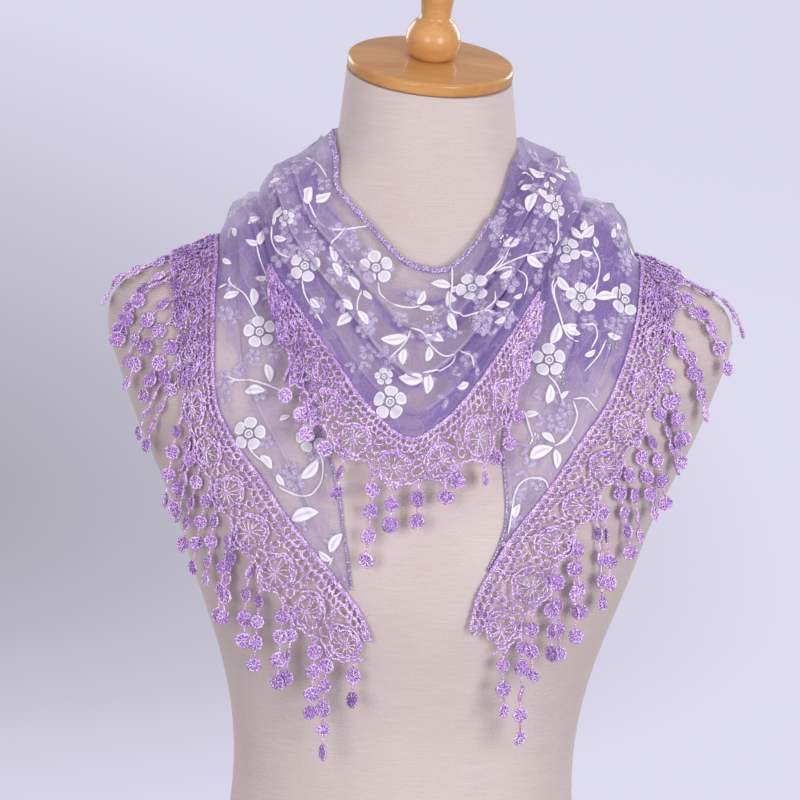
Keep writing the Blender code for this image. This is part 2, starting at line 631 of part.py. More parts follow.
def fringe(name, grid, rows, skip=(0, 0)):
    """A narrow strip along the lace's edge, with a strand of crochet discs from every second face.

    The skip says how many strands are left out at either end.
    """
    edge = grid[:, -1]
    away = off_form(edge)[1]
    outward = square_off(edge, grid[:, -2])
    near = edge + outward * SEAM
    far = near + outward * STRIP
    up = away * LACE
    rings = np.stack([near, far, far + up, near + up], axis=1)
    points = list(rings.reshape(-1, 3))
    count = len(edge)
    faces = [(0, 1, 2, 3), tuple(4 * (count - 1) + k for k in range(4))]
    for i in range(count - 1):
        a = 4 * i
        b = a + 4
        faces += [(a, b, b + 1, a + 1), (a + 2, b + 2, b + 3, a + 3), (a + 3, b + 3, b, a)]
    rooted = np.arange(2 * skip[0], count - 1 - 2 * skip[1], 2)
    for i in sorted(set(range(count - 1)) - set(rooted.tolist())):
        faces.append((4 * i + 1, 4 * i + 2, 4 * i + 6, 4 * i + 5))
    middle = (rooted + 0.5) / (count - 1)
    made = smooth(middle, rows[:, 0], rows[:, 1:])
    lean = made[:, 0]
    discs = np.maximum(1, np.round(made[:, 1])).astype(int)
    gap = made[:, 2] + STAGGER * (np.arange(len(rooted)) % 2)
    roots = 0.5 * (far[rooted] + far[rooted + 1]) + 0.5 * up[rooted]
    heads = 0.5 * (outward[rooted] + outward[rooted + 1])
    paths, step = hang(roots, heads, lean, (discs.max() + 0.5) * DISC_PITCH, gap + 0.5 * DISC_THICK)
    for strand, i in enumerate(rooted):
        across = edge[i + 1] - edge[i]
        ring = [4 * i + 1, 4 * i + 2, 4 * i + 6, 4 * i + 5]
        stops = [(0.5 * (k + 1) * DISC_PITCH, DISC if k % 2 else LINK) for k in range(2 * discs[strand])]
        stops.append((stops[-1][0] + DISC_TIP, LINK))
        for at, width in stops:
            k = min(int(at / step), paths.shape[1] - 2)
            share = at / step - k
            place = paths[strand, k] * (1 - share) + paths[strand, k + 1] * share
            heading = paths[strand, k + 1] - paths[strand, k]
            normal = off_form(place)[1]
            side = np.cross(heading, normal)
            side *= np.sign(side @ across) / np.linalg.norm(side)
            across = side
            lift = np.cross(side, heading)
            lift *= np.sign(lift @ normal) / np.linalg.norm(lift)
            half = 0.5 * width * side
            thick = 0.5 * DISC_THICK * lift
            first = len(points)
            points += [place - half - thick, place - half + thick, place + half + thick, place + half - thick]
            following = [first, first + 1, first + 2, first + 3]
            for j in range(4):
                faces.append((ring[j], ring[j - 3], following[j - 3], following[j]))
            ring = following
        faces.append(tuple(ring))
    node(name, np.array(points), faces, "crochet_yarn", near[0])


# ---------------------------------------------------------------- bindings
def binding(name, grid):
    """A braided cord along a cloth's first edge, just clear of it."""
    path = grid[:, 0]
    away = off_form(path)[1]
    aside = square_off(path, grid[:, 1])
    place = path + aside * (BRAID + SEAM) + away * (BRAID - 0.5 * SEAM)
    rings = [place + BRAID * (across * aside + up * away) for across, up in ((1, 1), (-1, 1), (-1, -1), (1, -1))]
    return tube(name, np.stack(rings, axis=1), "bound_edge", place[0])


def main():
    for old in list(bpy.data.objects):
        bpy.data.objects.remove(old)
    dress_form()
    neck_cap()
    finial()
    front = cloth("front_drape", FRONT_RIBS, rows=19, folds=4.5, drift=0.4)
    left = cloth("left_tail", LEFT_TAIL, rows=8, folds=2.5, drift=0.6)
    right = cloth("right_tail", RIGHT_TAIL, rows=8, folds=2.5, drift=-0.4)
    over = cloth("over_wrap", OVER_WRAP, rows=10, folds=3.0, drift=0.5)
    under = cloth("under_wrap", UNDER_WRAP, rows=8, folds=2.0, drift=-0.4)
    fringe("front_fringe", lace("front_lace", FRONT_LACE, front), FRONT_FRINGE, skip=(3, 3))
    fringe("left_fringe", lace("left_lace", LEFT_LACE, left), SIDE_FRINGE)
    fringe("right_fringe", lace("right_lace", RIGHT_LACE, right), SIDE_FRINGE)
    fringe("back_left_fringe", lace("back_left_lace", BACK_LEFT_LACE, under), BACK_FRINGE, skip=(1, 0))
    fringe("back_right_fringe", lace("back_right_lace", BACK_RIGHT_LACE, over), BACK_FRINGE, skip=(1, 0))
    binding("neckline_binding", front[:NECKLINE_BRAID])
    binding("left_tail_binding", left[TAIL_PLAIN:])
    binding("right_tail_binding", right[TAIL_PLAIN:])


main()
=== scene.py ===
"""Looks of the lilac lace shawl on its limbless dress form.

Sizes are in millimetres until a mesh is written in metres. Left is the side of minus X.
"""

import math

import bmesh
import bpy
import numpy as np
from mathutils import Matrix, Vector
from mathutils.bvhtree import BVHTree


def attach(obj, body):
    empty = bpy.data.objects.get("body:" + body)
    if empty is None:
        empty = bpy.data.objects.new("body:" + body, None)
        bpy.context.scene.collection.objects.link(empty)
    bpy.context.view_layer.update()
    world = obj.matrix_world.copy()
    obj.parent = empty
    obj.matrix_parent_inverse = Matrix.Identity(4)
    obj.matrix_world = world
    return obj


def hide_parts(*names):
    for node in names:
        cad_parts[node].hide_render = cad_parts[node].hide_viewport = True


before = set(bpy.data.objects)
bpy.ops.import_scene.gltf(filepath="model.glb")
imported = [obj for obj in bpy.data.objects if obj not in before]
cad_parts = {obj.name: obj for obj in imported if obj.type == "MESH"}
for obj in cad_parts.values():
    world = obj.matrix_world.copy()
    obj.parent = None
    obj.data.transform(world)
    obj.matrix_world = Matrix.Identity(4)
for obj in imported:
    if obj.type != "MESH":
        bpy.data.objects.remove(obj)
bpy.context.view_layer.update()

MM = 0.001
TURN = 2 * math.pi

# ---------------------------------------------------------------- sizes shared with the solids, mm
REST = 0.3             # space between the neck, the cap and the finial
DISC_PITCH = 13.5      # spacing of the discs along a strand of the fringe
STRAND_PITCH = 13.5    # spacing of the strands along the border
STAGGER = 2.4          # how much farther from the form every second strand hangs
TURN_DOWN = 90.0       # run over which a strand turns from outward to straight down
SINK = 9.0             # run over which a strand comes down to its own gap
FORM_POWER = 2.2       # power of the form's level sections, 2 for an ellipse
NECK_TOP = 690.0
NECK_LEAN = math.radians(18.5)
NECK_TIP = math.radians(3.8)     # the cap also slopes down to the right
CAP_RADIUS = 53.6
CAP_THICK = 8.5
CAP_ROUND = 2.2        # radius of the cap's rounded rims
CAP_CROWN = 1.6        # rise of the cap's top from its rim to the finial

# ---------------------------------------------------------------- fineness of the meshes
FORM_SIDES = 120
CAP_SIDES = 96
FINIAL_SIDES = 64
FINIAL_RINGS = 66
STATION_STEPS = 40     # steps to a table's row where a curve's length is measured
REPEAT_STEPS = 24      # steps to one repeat of a border
BAND_STEPS = 34        # lines from a border's seam to past its edge

# ---------------------------------------------------------------- camera, metres and degrees
EYE_DISTANCE = 1.8
VIEW_WIDTH = 0.52
EYE_RISE = 5.0          # degrees that the camera looks down
EYE_ROLL = 2.2          # degrees that it leans over
SENSOR = 36             # width of the sensor, mm
AIM = (-0.011, 0.0, 0.478)
EYE = (AIM[0], AIM[1] - EYE_DISTANCE * math.cos(math.radians(EYE_RISE)),
       AIM[2] + EYE_DISTANCE * math.sin(math.radians(EYE_RISE)))

# ---------------------------------------------------------------- tables of the shapes, mm
# Level sections of the form: height, half width, depth in front of the axis, depth behind it.
FORM_ROWS = np.array([
    # z,  half, front, back
    (0, 147, 105, 112),
    (50, 146, 103, 112),
    (100, 138, 98, 108),
    (150, 126, 92, 100),
    (200, 114, 85, 86),
    (235, 111, 82, 80),
    (275, 114, 86, 80),
    (310, 122, 97, 84),
    (345, 134, 112, 90),
    (375, 145, 120, 95),
    (405, 155, 118, 99),
    (435, 169, 108, 101),
    (465, 183, 96, 102),
    (495, 194, 84, 101),
    (515, 201, 76, 98),
    (530, 202, 70, 94),
    (543, 198, 65, 91),
    (551, 190, 61, 87),
    (558, 175, 59, 82),
    (566, 157, 57, 79),
    (575, 137, 55, 75),
    (584, 122.5, 53, 71),
    (594, 108, 52, 68),
    (604, 94, 51, 65),
    (617, 76, 50, 60),
    (629, 64, 50, 57),
    (643, 59, 50, 55),
    (665, 56, 50, 52),
    (690, 53.5, 50, 50),
    (710, 53, 50, 50),
], dtype=float)

# Turned finial on the cap: radius, height above the cap.
FINIAL_ROWS = ((13.0, 0.0), (15.6, 3.0), (17.3, 7.6), (17.8, 12.4), (16.6, 17.6), (13.4, 22.6),
               (10.4, 25.6), (9.7, 28.0), (9.9, 33.0), (10.8, 40.0), (12.0, 48.0), (13.2, 56.0),
               (13.2, 62.5), (10.6, 67.5), (5.6, 70.6))

# The shawl's front: a rib runs from the neckline to the lace seam, from the left shoulder's crest to
# the right one's. The gaps say how far the cloth stands off the form at each end and in between.
FRONT_RIBS = np.array([
    # neckline x, y, z,  seam x, y, z,  neck gap, puff, seam gap, fold depth
    (-62, -0.25, 650,  -104, -0.25, 610,  3.4, 13.0, 11.0, 1.0),
    (-61, -28, 636,  -101, -33, 590,  3.4, 12.0, 11.0, 2.0),
    (-58, -46, 617,  -95, -60, 566,  4.0, 9.0, 9.8, 3.0),
    (-49, -53, 606,  -85, -67, 551,  5.0, 7.0, 10.0, 4.0),
    (-38, -57, 595,  -69, -77, 531,  6.0, 5.0, 10.2, 4.6),
    (-24, -62, 581,  -50, -89, 508,  6.5, 4.0, 10.4, 5.0),
    (-11, -65, 570,  -31, -99, 484,  6.5, 4.0, 10.4, 5.2),
    (2, -66, 566,  -6, -107, 465,  6.5, 4.0, 10.4, 5.2),
    (14, -66, 566,  13, -103, 473,  6.5, 4.0, 10.4, 5.2),
    (24, -64, 573,  29, -97, 490,  6.5, 4.0, 10.4, 5.0),
    (34, -60, 585,  46, -87, 513,  6.0, 5.0, 10.4, 4.6),
    (42, -57, 599,  61, -78, 537,  5.0, 8.0, 10.2, 4.0),
    (49, -49, 615,  73, -68, 556,  4.4, 12.0, 10.0, 3.2),
    (55, -32, 635,  83, -50, 578,  4.0, 16.0, 11.0, 2.0),
    (59, -0.25, 651,  96, -0.25, 612,  3.6, 18.0, 14.0, 1.0),
], dtype=float)

# The front border: from its seam to its scalloped edge.
FRONT_LACE = np.array([
    # seam x, y, z,  edge x, y, z,  seam gap, edge gap
    (-95, -60, 566,  -97, -62, 558,  9.8, 9.8),
    (-85, -67, 551,  -93, -75, 531,  10.0, 10.4),
    (-69, -77, 531,  -86, -82, 510,  10.2, 11.0),
    (-50, -89, 508,  -75, -92, 484,  10.4, 11.0),
    (-31, -99, 484,  -60, -104, 461,  10.4, 11.0),
    (-19, -103, 473,  -38, -112, 444,  10.4, 11.0),
    (-6, -107, 465,  -11, -118, 430,  10.4, 11.0),
    (8, -104, 470,  17, -116, 436,  10.4, 11.0),
    (29, -97, 490,  46, -110, 452,  10.4, 11.0),
    (46, -87, 513,  63, -96, 484,  10.4, 11.0),
    (61, -78, 537,  72, -82, 519,  10.2, 11.0),
    (73, -68, 556,  77, -71, 546,  10.0, 10.4),
], dtype=float)

# A tail: ribs run from its bound inner edge to the lace seam, from the shoulder's crest downwards.
LEFT_TAIL = np.array([
    # inner x, y, z,  seam x, y, z,  inner gap, puff, seam gap, fold depth
    (-106, -0.25, 604,  -130, -0.25, 579,  8.0, 7.0, 1.9, 1.5),
    (-103, -30, 588,  -130, -26, 574,  6.0, 6.0, 1.9, 2.0),
    (-97, -54, 565,  -130, -45, 562,  2.0, 2.5, 1.2, 2.4),
    (-91, -64, 546,  -130, -57, 542,  1.2, 0.5, 1.2, 2.4),
    (-84, -72, 522,  -129, -65, 517,  1.2, 0.0, 1.2, 2.0),
    (-78, -80, 500,  -128, -71, 495,  1.2, 0.0, 1.2, 1.6),
    (-72, -88, 480,  -124, -77, 475,  1.2, 0.0, 1.2, 1.4),
    (-63, -97, 460,  -112, -87, 455,  1.2, 0.0, 1.2, 1.2),
    (-53, -106, 439,  -97, -96, 438,  1.2, 0.0, 1.2, 1.2),
    (-46, -114, 420,  -81, -106, 418,  1.2, 0.0, 1.2, 1.0),
    (-42, -119, 401,  -65, -114, 399,  1.2, 0.0, 1.2, 0.6),
    (-39, -121, 384,  -50, -119, 383,  1.2, 0.0, 1.2, 0.2),
    (-37, -121, 370,  -40, -121, 370,  1.2, 0.0, 1.2, 0.0),
], dtype=float)

LEFT_LACE = np.array([
    # seam x, y, z,  edge x, y, z,  seam gap, edge gap
    (-130, -0.25, 579,  -163, -0.25, 563,  1.9, 1.3),
    (-130, -26, 578,  -163, -24, 562,  1.9, 1.3),
    (-130, -45, 562,  -161, -38, 549,  1.2, 1.1),
    (-130, -57, 542,  -158, -47, 535,  1.2, 1.1),
    (-129, -65, 517,  -155, -56, 508,  1.2, 1.1),
    (-128, -71, 495,  -152, -61, 484,  1.2, 1.1),
    (-124, -77, 475,  -146, -68, 459,  1.2, 1.1),
    (-112, -87, 455,  -138, -75, 437,  1.2, 1.8),
    (-97, -96, 438,  -126, -82, 415,  1.2, 3.0),
    (-81, -106, 418,  -112, -90, 393,  1.2, 4.0),
    (-65, -114, 399,  -96, -98, 372,  1.2, 5.0),
    (-50, -119, 383,  -79, -104, 351,  1.2, 6.0),
    (-40, -121, 370,  -60, -105, 331,  1.2, 6.5),
    (-30, -119, 356,  -42, -105, 323,  1.8, 6.5),
    (-23, -113, 341,  -27, -106, 325,  4.0, 6.0),
], dtype=float)

RIGHT_TAIL = np.array([
    # inner x, y, z,  seam x, y, z,  inner gap, puff, seam gap, fold depth
    (99, -0.25, 609,  137, -0.25, 576,  9.0, 9.0, 1.8, 1.5),
    (94, -26, 598,  138, -26, 569,  6.0, 7.0, 1.5, 2.0),
    (86, -48, 580,  138, -44, 560,  3.6, 3.0, 1.4, 2.4),
    (81, -60, 557,  135, -57, 537,  1.4, 1.0, 1.2, 2.4),
    (78, -70, 533,  130, -64, 518,  1.2, 0.5, 1.2, 2.2),
    (73, -79, 510,  124, -71, 501,  1.2, 0.0, 1.2, 2.0),
    (66, -87, 489,  116, -77, 484,  1.2, 0.0, 1.2, 1.6),
    (60, -98, 463,  101, -88, 463,  1.2, 0.0, 1.2, 1.4),
    (60, -106, 440,  88, -98, 443,  1.2, 0.0, 1.2, 1.0),
    (59, -112, 421,  75, -107, 426,  1.2, 0.0, 1.2, 0.6),
    (54, -117, 402,  60, -115, 407,  1.2, 0.0, 1.2, 0.2),
    (47, -120, 386,  49, -119, 389,  1.2, 0.0, 1.2, 0.0),
], dtype=float)

RIGHT_LACE = np.array([
    # seam x, y, z,  edge x, y, z,  seam gap, edge gap
    (137, -0.25, 576,  168, -0.25, 561,  1.8, 1.1),
    (138, -26, 569,  168, -24, 557,  1.5, 1.1),
    (138, -44, 560,  164, -36, 547,  1.4, 1.1),
    (135, -57, 537,  160, -47, 531,  1.2, 1.1),
    (130, -64, 518,  157, -54, 508,  1.2, 1.1),
    (124, -71, 501,  152, -61, 488,  1.2, 1.1),
    (116, -77, 484,  145, -67, 470,  1.2, 2.2),
    (101, -88, 463,  131, -76, 446,  1.2, 2.8),
    (88, -98, 443,  119, -84, 428,  1.2, 3.6),
    (75, -107, 426,  106, -93, 409,  1.2, 4.6),
    (60, -115, 407,  95, -100, 391,  1.2, 5.6),
    (49, -119, 389,  85, -103, 369,  1.2, 6.4),
    (40, -119, 370,  70, -104, 347,  1.8, 6.8),
    (36, -114, 349,  55, -103, 331,  4.0, 6.8),
], dtype=float)

# Behind the neck: each wrap runs from one shoulder's crest to the other, upper edge to lace seam.
# The over wrap starts beside the neck on the left, the under wrap beside the neck on the right.
OVER_WRAP = np.array([
    # upper x, y, z,  lower x, y, z,  upper gap, puff, lower gap, fold depth
    (-62, 0.25, 650,  -104, 0.25, 610,  3.4, 13.0, 11.0, 1.0),
    (-58, 26, 652,  -104, 38, 596,  8.0, 9.0, 10.4, 1.6),
    (-42, 46, 655,  -90, 68, 580,  9.6, 5.0, 10.4, 2.4),
    (-20, 56, 658,  -58, 84, 566,  9.8, 3.0, 10.4, 3.0),
    (8, 58, 658,  -18, 90, 556,  9.8, 3.0, 10.4, 3.4),
    (34, 50, 652,  24, 92, 548,  9.8, 3.0, 10.4, 3.4),
    (58, 42, 640,  66, 88, 546,  9.8, 3.0, 10.4, 3.0),
    (78, 34, 628,  104, 72, 554,  9.8, 3.0, 10.0, 2.6),
    (98, 17, 611,  130, 42, 561,  9.8, 5.0, 7.0, 2.0),
    (99, 0.25, 609,  137, 0.25, 576,  9.0, 9.0, 3.0, 1.5),
], dtype=float)

UNDER_WRAP = np.array([
    # upper x, y, z,  lower x, y, z,  upper gap, puff, lower gap, fold depth
    (59, 0.25, 651,  96, 0.25, 612,  3.6, 18.0, 14.0, 1.0),
    (53, 22, 650,  92, 24, 606,  1.5, 5.0, 5.0, 1.4),
    (38, 43, 652,  74, 56, 588,  1.5, 0.5, 1.5, 1.8),
    (18, 53, 654,  44, 72, 574,  1.5, 0.0, 1.5, 2.2),
    (-8, 54, 652,  6, 80, 562,  1.5, 0.0, 1.5, 2.2),
    (-34, 49, 644,  -36, 84, 554,  1.5, 0.0, 1.5, 2.2),
    (-60, 42, 630,  -76, 76, 552,  1.5, 0.0, 1.5, 2.2),
    (-88, 30, 618,  -112, 54, 560,  1.5, 1.0, 1.5, 2.0),
    (-102, 14, 613,  -128, 28, 574,  4.5, 4.0, 1.7, 1.6),
    (-106, 0.25, 604,  -130, 0.25, 579,  8.0, 7.0, 1.9, 1.5),
], dtype=float)

BACK_LEFT_LACE = np.array([
    # seam x, y, z,  edge x, y, z,  seam gap, edge gap
    (-130, 0.25, 579,  -163, 0.25, 563,  1.9, 1.3),
    (-128, 28, 574,  -162, 28, 558,  1.7, 1.3),
    (-112, 54, 560,  -148, 62, 536,  1.5, 1.1),
    (-76, 76, 552,  -104, 88, 520,  1.5, 1.1),
    (-36, 84, 554,  -50, 95, 512,  1.5, 1.1),
], dtype=float)

BACK_RIGHT_LACE = np.array([
    # seam x, y, z,  edge x, y, z,  seam gap, edge gap
    (137, 0.25, 576,  168, 0.25, 561,  3.0, 2.0),
    (130, 42, 564,  163, 42, 545,  7.0, 5.0),
    (104, 72, 554,  128, 84, 525,  10.0, 8.0),
    (66, 88, 546,  78, 98, 511,  10.4, 9.0),
    (24, 92, 548,  26, 104, 508,  10.4, 9.4),
    (-18, 90, 556,  -26, 104, 514,  10.4, 9.4),
], dtype=float)

# Fringes: station from 0 at the shoulder or left end to 1, outward lean, discs, gap from the form.
SIDE_FRINGE = np.array([
    # station, lean, discs, gap
    (0.00, 0.90, 4, 1.2),
    (0.12, 0.76, 4, 1.2),
    (0.30, 0.50, 4, 1.2),
    (0.50, 0.38, 4, 1.2),
    (0.65, 0.22, 4, 2.6),
    (0.80, 0.12, 4, 4.0),
    (0.88, 0.10, 3, 4.6),
    (0.95, 0.05, 5, 5.6),
    (1.00, 0.05, 1, 6.0),
], dtype=float)

FRONT_FRINGE = np.array([
    # station, lean, discs, gap
    (0.00, 0.50, 1, 10.4),
    (0.36, 0.30, 1, 10.8),
    (0.42, 0.12, 2, 10.8),
    (0.46, 0.05, 4, 10.8),
    (0.50, 0.05, 2, 10.8),
    (0.55, 0.05, 2, 10.8),
    (0.60, 0.05, 1, 10.8),
    (0.66, 0.10, 2, 10.8),
    (0.72, 0.20, 1, 10.8),
    (1.00, 0.45, 1, 10.4),
], dtype=float)

BACK_FRINGE = np.array([
    # station, lean, discs, gap
    (0.00, 0.85, 4, 1.2),
    (0.20, 0.55, 4, 1.2),
    (0.50, 0.10, 4, 2.4),
    (1.00, 0.00, 3, 3.0),
], dtype=float)

# Embroidered shapes on the front, by where the camera's view shows them. The view is VIEW_SIDE across.
VIEW_SIDE = 800
SPRIG_DEPTH = -80.0    # the upright plane across the form's front in which the view's places are taken

# Flowers and leaves: place across, place down, size and turn in degrees.
FLOWERS = (
    (376, 268, 33, 10), (472, 288, 31, 25), (305, 266, 31, -10), (390, 402, 33, 0), (260, 332, 31, 15),
    (249, 434, 33, -5), (311, 437, 31, 20), (581, 298, 31, 5), (625, 300, 33, -10), (549, 360, 33, 0),
    (566, 250, 28, 20), (555, 206, 24, 30), (384, 377, 18, 10), (286, 218, 16, 20), (503, 544, 14, 0),
)
LEAVES = (
    (333, 254, 16, 112), (337, 270, 16, -58), (353, 283, 18, 128), (368, 295, 13, -48), (346, 305, 15, 152),
    (346, 320, 21, 220), (363, 318, 16, -52), (421, 298, 16, 68), (427, 309, 14, -8), (441, 285, 19, 172),
    (449, 301, 22, 95), (453, 321, 18, -65), (456, 290, 11, 20), (394, 338, 25, 193), (404, 357, 17, -95),
    (433, 337, 22, -22), (428, 354, 16, 85), (411, 377, 23, 178), (427, 384, 20, -88), (462, 385, 14, 205),
    (502, 303, 15, 165), (510, 316, 14, -80), (500, 320, 12, 205), (506, 274, 13, 30), (518, 296, 10, 30),
    (535, 261, 18, -28), (550, 249, 11, 80), (513, 244, 20, 12), (384, 374, 12, 140), (315, 303, 13, -40),
    (321, 197, 20, 40), (309, 195, 20, 97), (367, 233, 18, 8), (279, 211, 16, 40), (275, 220, 10, 80),
    (280, 238, 14, -12), (253, 242, 14, 175), (263, 237, 18, 82), (234, 233, 12, -45), (227, 261, 12, -25),
    (262, 278, 12, 10), (232, 296, 16, 22), (253, 297, 18, -82), (303, 150, 20, 5), (275, 180, 12, 15),
    (257, 189, 10, 60), (254, 220, 14, 42), (541, 174, 22, -45), (528, 188, 14, 0), (542, 194, 13, -75),
    (532, 202, 21, -115), (547, 185, 9, 60), (552, 180, 10, 80), (567, 171, 18, 0), (561, 176, 13, 100),
    (583, 225, 14, 50), (588, 231, 20, 33), (577, 233, 16, -60), (595, 242, 12, 85), (586, 253, 14, 0),
    (564, 284, 18, -52), (606, 297, 20, 5), (613, 233, 13, 50), (618, 226, 12, 30), (606, 277, 11, 50),
    (612, 203, 9, 40), (631, 252, 9, 70), (570, 326, 16, 10), (555, 333, 22, 70), (573, 330, 17, -20),
    (590, 353, 12, 30), (614, 336, 14, -10), (549, 394, 19, 80), (565, 395, 10, 45), (531, 415, 15, 10),
    (548, 438, 15, -35), (541, 453, 25, 25), (556, 459, 18, -88), (517, 511, 14, 66), (255, 391, 20, 5),
    (268, 373, 18, -70), (219, 401, 13, 60), (285, 418, 11, 25), (256, 465, 15, -75), (266, 462, 17, -42),
    (310, 469, 23, 55), (281, 480, 13, -50), (267, 484, 17, 160), (276, 494, 16, -90), (305, 516, 27, 20),
    (287, 510, 18, 108), (294, 532, 20, -62), (336, 543, 21, 60), (325, 556, 15, 148), (344, 559, 18, -5),
    (333, 480, 19, -62),
)

# Stems: corners across and down.
STEMS = (
    ((378, 282), (381, 295), (394, 304), (410, 308), (421, 306)), ((362, 290), (358, 300), (357, 312)),
    ((452, 268), (452, 285), (452, 311), (480, 312), (494, 303), (495, 291)), ((480, 312), (498, 315)),
    ((411, 328), (404, 344), (386, 365)), ((411, 328), (424, 334), (433, 348), (444, 356), (455, 357)),
    ((422, 373), (439, 371), (452, 363), (458, 350), (470, 355), (474, 367)),
    ((482, 279), (499, 262), (510, 248)), ((482, 278), (502, 266), (524, 256), (550, 252)),
    ((495, 270), (510, 267), (524, 274), (527, 284), (524, 295)),
    ((302, 279), (305, 295), (315, 312), (323, 325)), ((296, 151), (308, 158), (320, 166), (332, 181)),
    ((309, 202), (318, 221), (332, 229), (356, 228), (374, 226)), ((346, 229), (333, 241), (329, 249)),
    ((272, 226), (272, 241), (279, 253), (290, 258)), ((257, 245), (260, 259), (267, 277)),
    ((230, 277), (230, 283), (245, 295), (255, 313), (261, 322)), ((218, 289), (227, 284)),
    ((518, 177), (527, 174), (535, 182), (537, 189)), ((552, 158), (558, 162), (557, 170)),
    ((590, 185), (589, 198), (578, 207)), ((556, 213), (557, 237), (554, 247)),
    ((510, 246), (502, 263), (489, 275)), ((554, 278), (552, 288), (557, 307), (563, 325)),
    ((592, 247), (599, 262), (597, 280), (587, 292)), ((598, 280), (593, 297), (587, 307)),
    ((568, 218), (570, 213), (577, 212), (577, 220)),
    ((557, 281), (554, 292), (561, 320), (568, 336), (579, 342)),
    ((584, 325), (594, 325), (597, 336), (591, 349)), ((606, 340), (598, 356), (584, 372)),
    ((548, 375), (558, 388), (564, 405)), ((573, 399), (587, 399), (598, 412)),
    ((573, 401), (577, 416), (570, 433), (557, 445)), ((524, 411), (529, 427), (533, 439)),
    ((554, 446), (566, 440), (573, 430)),
    ((508, 534), (511, 516), (515, 493), (522, 482), (533, 478), (545, 481), (550, 486)),
    ((227, 376), (236, 380), (250, 380), (270, 386), (288, 394), (293, 397)), ((228, 383), (238, 379)),
    ((248, 446), (256, 456), (270, 466)),
    ((317, 446), (323, 464), (321, 482), (312, 494), (300, 496), (284, 490), (279, 487)),
    ((288, 524), (293, 520)), ((329, 566), (333, 557)),
)


# ---------------------------------------------------------------- smooth tables
def smooth(at, stations, values):
    """Values of a table's columns at the given stations, on a smooth curve through its rows."""
    at = np.clip(at, stations[0], stations[-1])
    step = np.diff(stations)
    slope = np.diff(values, axis=0) / step[:, None]
    turn = np.empty_like(values)
    turn[0] = slope[0]
    turn[-1] = slope[-1]
    before = step[:-1, None]
    after = step[1:, None]
    turn[1:-1] = (slope[:-1] * after + slope[1:] * before) / (before + after)
    row = np.clip(np.searchsorted(stations, at) - 1, 0, len(step) - 1)
    width = step[row][..., None]
    t = ((at - stations[row]) / step[row])[..., None]
    rise = t * t * (3 - 2 * t)
    return (values[row] * (1 - rise) + values[row + 1] * rise
            + turn[row] * width * t * (1 - t) ** 2
            + turn[row + 1] * width * t * t * (t - 1))


def on_rows(at, rows):
    """Values of a table's columns at stations counted in rows."""
    return smooth(at, np.arange(len(rows), dtype=float), rows)


def run_of(points):
    """The length run up to each point of a path, or of each of many paths."""
    steps = np.linalg.norm(np.diff(points, axis=-2), axis=-1)
    return np.concatenate([np.zeros((*steps.shape[:-1], 1)), np.cumsum(steps, axis=-1)], axis=-1)


def spots(at, run, path):
    """Points of a path at the given runs along it."""
    return np.stack([np.interp(at, run, path[:, k]) for k in range(3)], axis=-1)


def even_stations(curve, piece, parts=1):
    """Stations that cut a table's curve into equal pieces of about that length, in so many parts each.

    Also the number of pieces and the curve's length.
    """
    fine = np.linspace(0, len(curve) - 1, STATION_STEPS * len(curve))
    run = run_of(on_rows(fine, curve))
    pieces = max(1, round(run[-1] / piece))
    return np.interp(np.linspace(0, run[-1], pieces * parts + 1), run, fine), pieces, run[-1]


def hill(*shares):
    """1 where the shares are 0, falling softly on every side, to about a third at 1."""
    return np.exp(-sum(share ** 2 for share in shares))


def wrapped(angle):
    """The same angle between minus and plus half a turn."""
    return np.angle(np.exp(1j * angle))


# ---------------------------------------------------------------- the form as a distance
def level(points):
    """1 on the form's surface, more outside it."""
    half, front, back = np.moveaxis(smooth(points[..., 2], FORM_ROWS[:, 0], FORM_ROWS[:, 1:]), -1, 0)
    depth = np.where(points[..., 1] < 0, front, back)
    across = (np.abs(points[..., 0]) / half) ** FORM_POWER
    along = (np.abs(points[..., 1]) / depth) ** FORM_POWER
    return (across + along) ** (1 / FORM_POWER)


def off_form(points):
    """Distance from the form's surface, and the direction that leads away from it."""
    reach = 0.5
    slope = np.empty_like(points)
    for axis in range(3):
        nudge = np.zeros(3)
        nudge[axis] = reach
        slope[..., axis] = (level(points + nudge) - level(points - nudge)) / (2 * reach)
    size = np.linalg.norm(slope, axis=-1)
    return (level(points) - 1) / size, slope / size[..., None]


def seat(points, gap):
    """Moves points straight to or from the form until they stand off it by the gap."""
    tries = 8
    for _ in range(tries):
        distance, away = off_form(points)
        points = points + away * (gap - distance)[..., None]
    return points, off_form(points)[1]


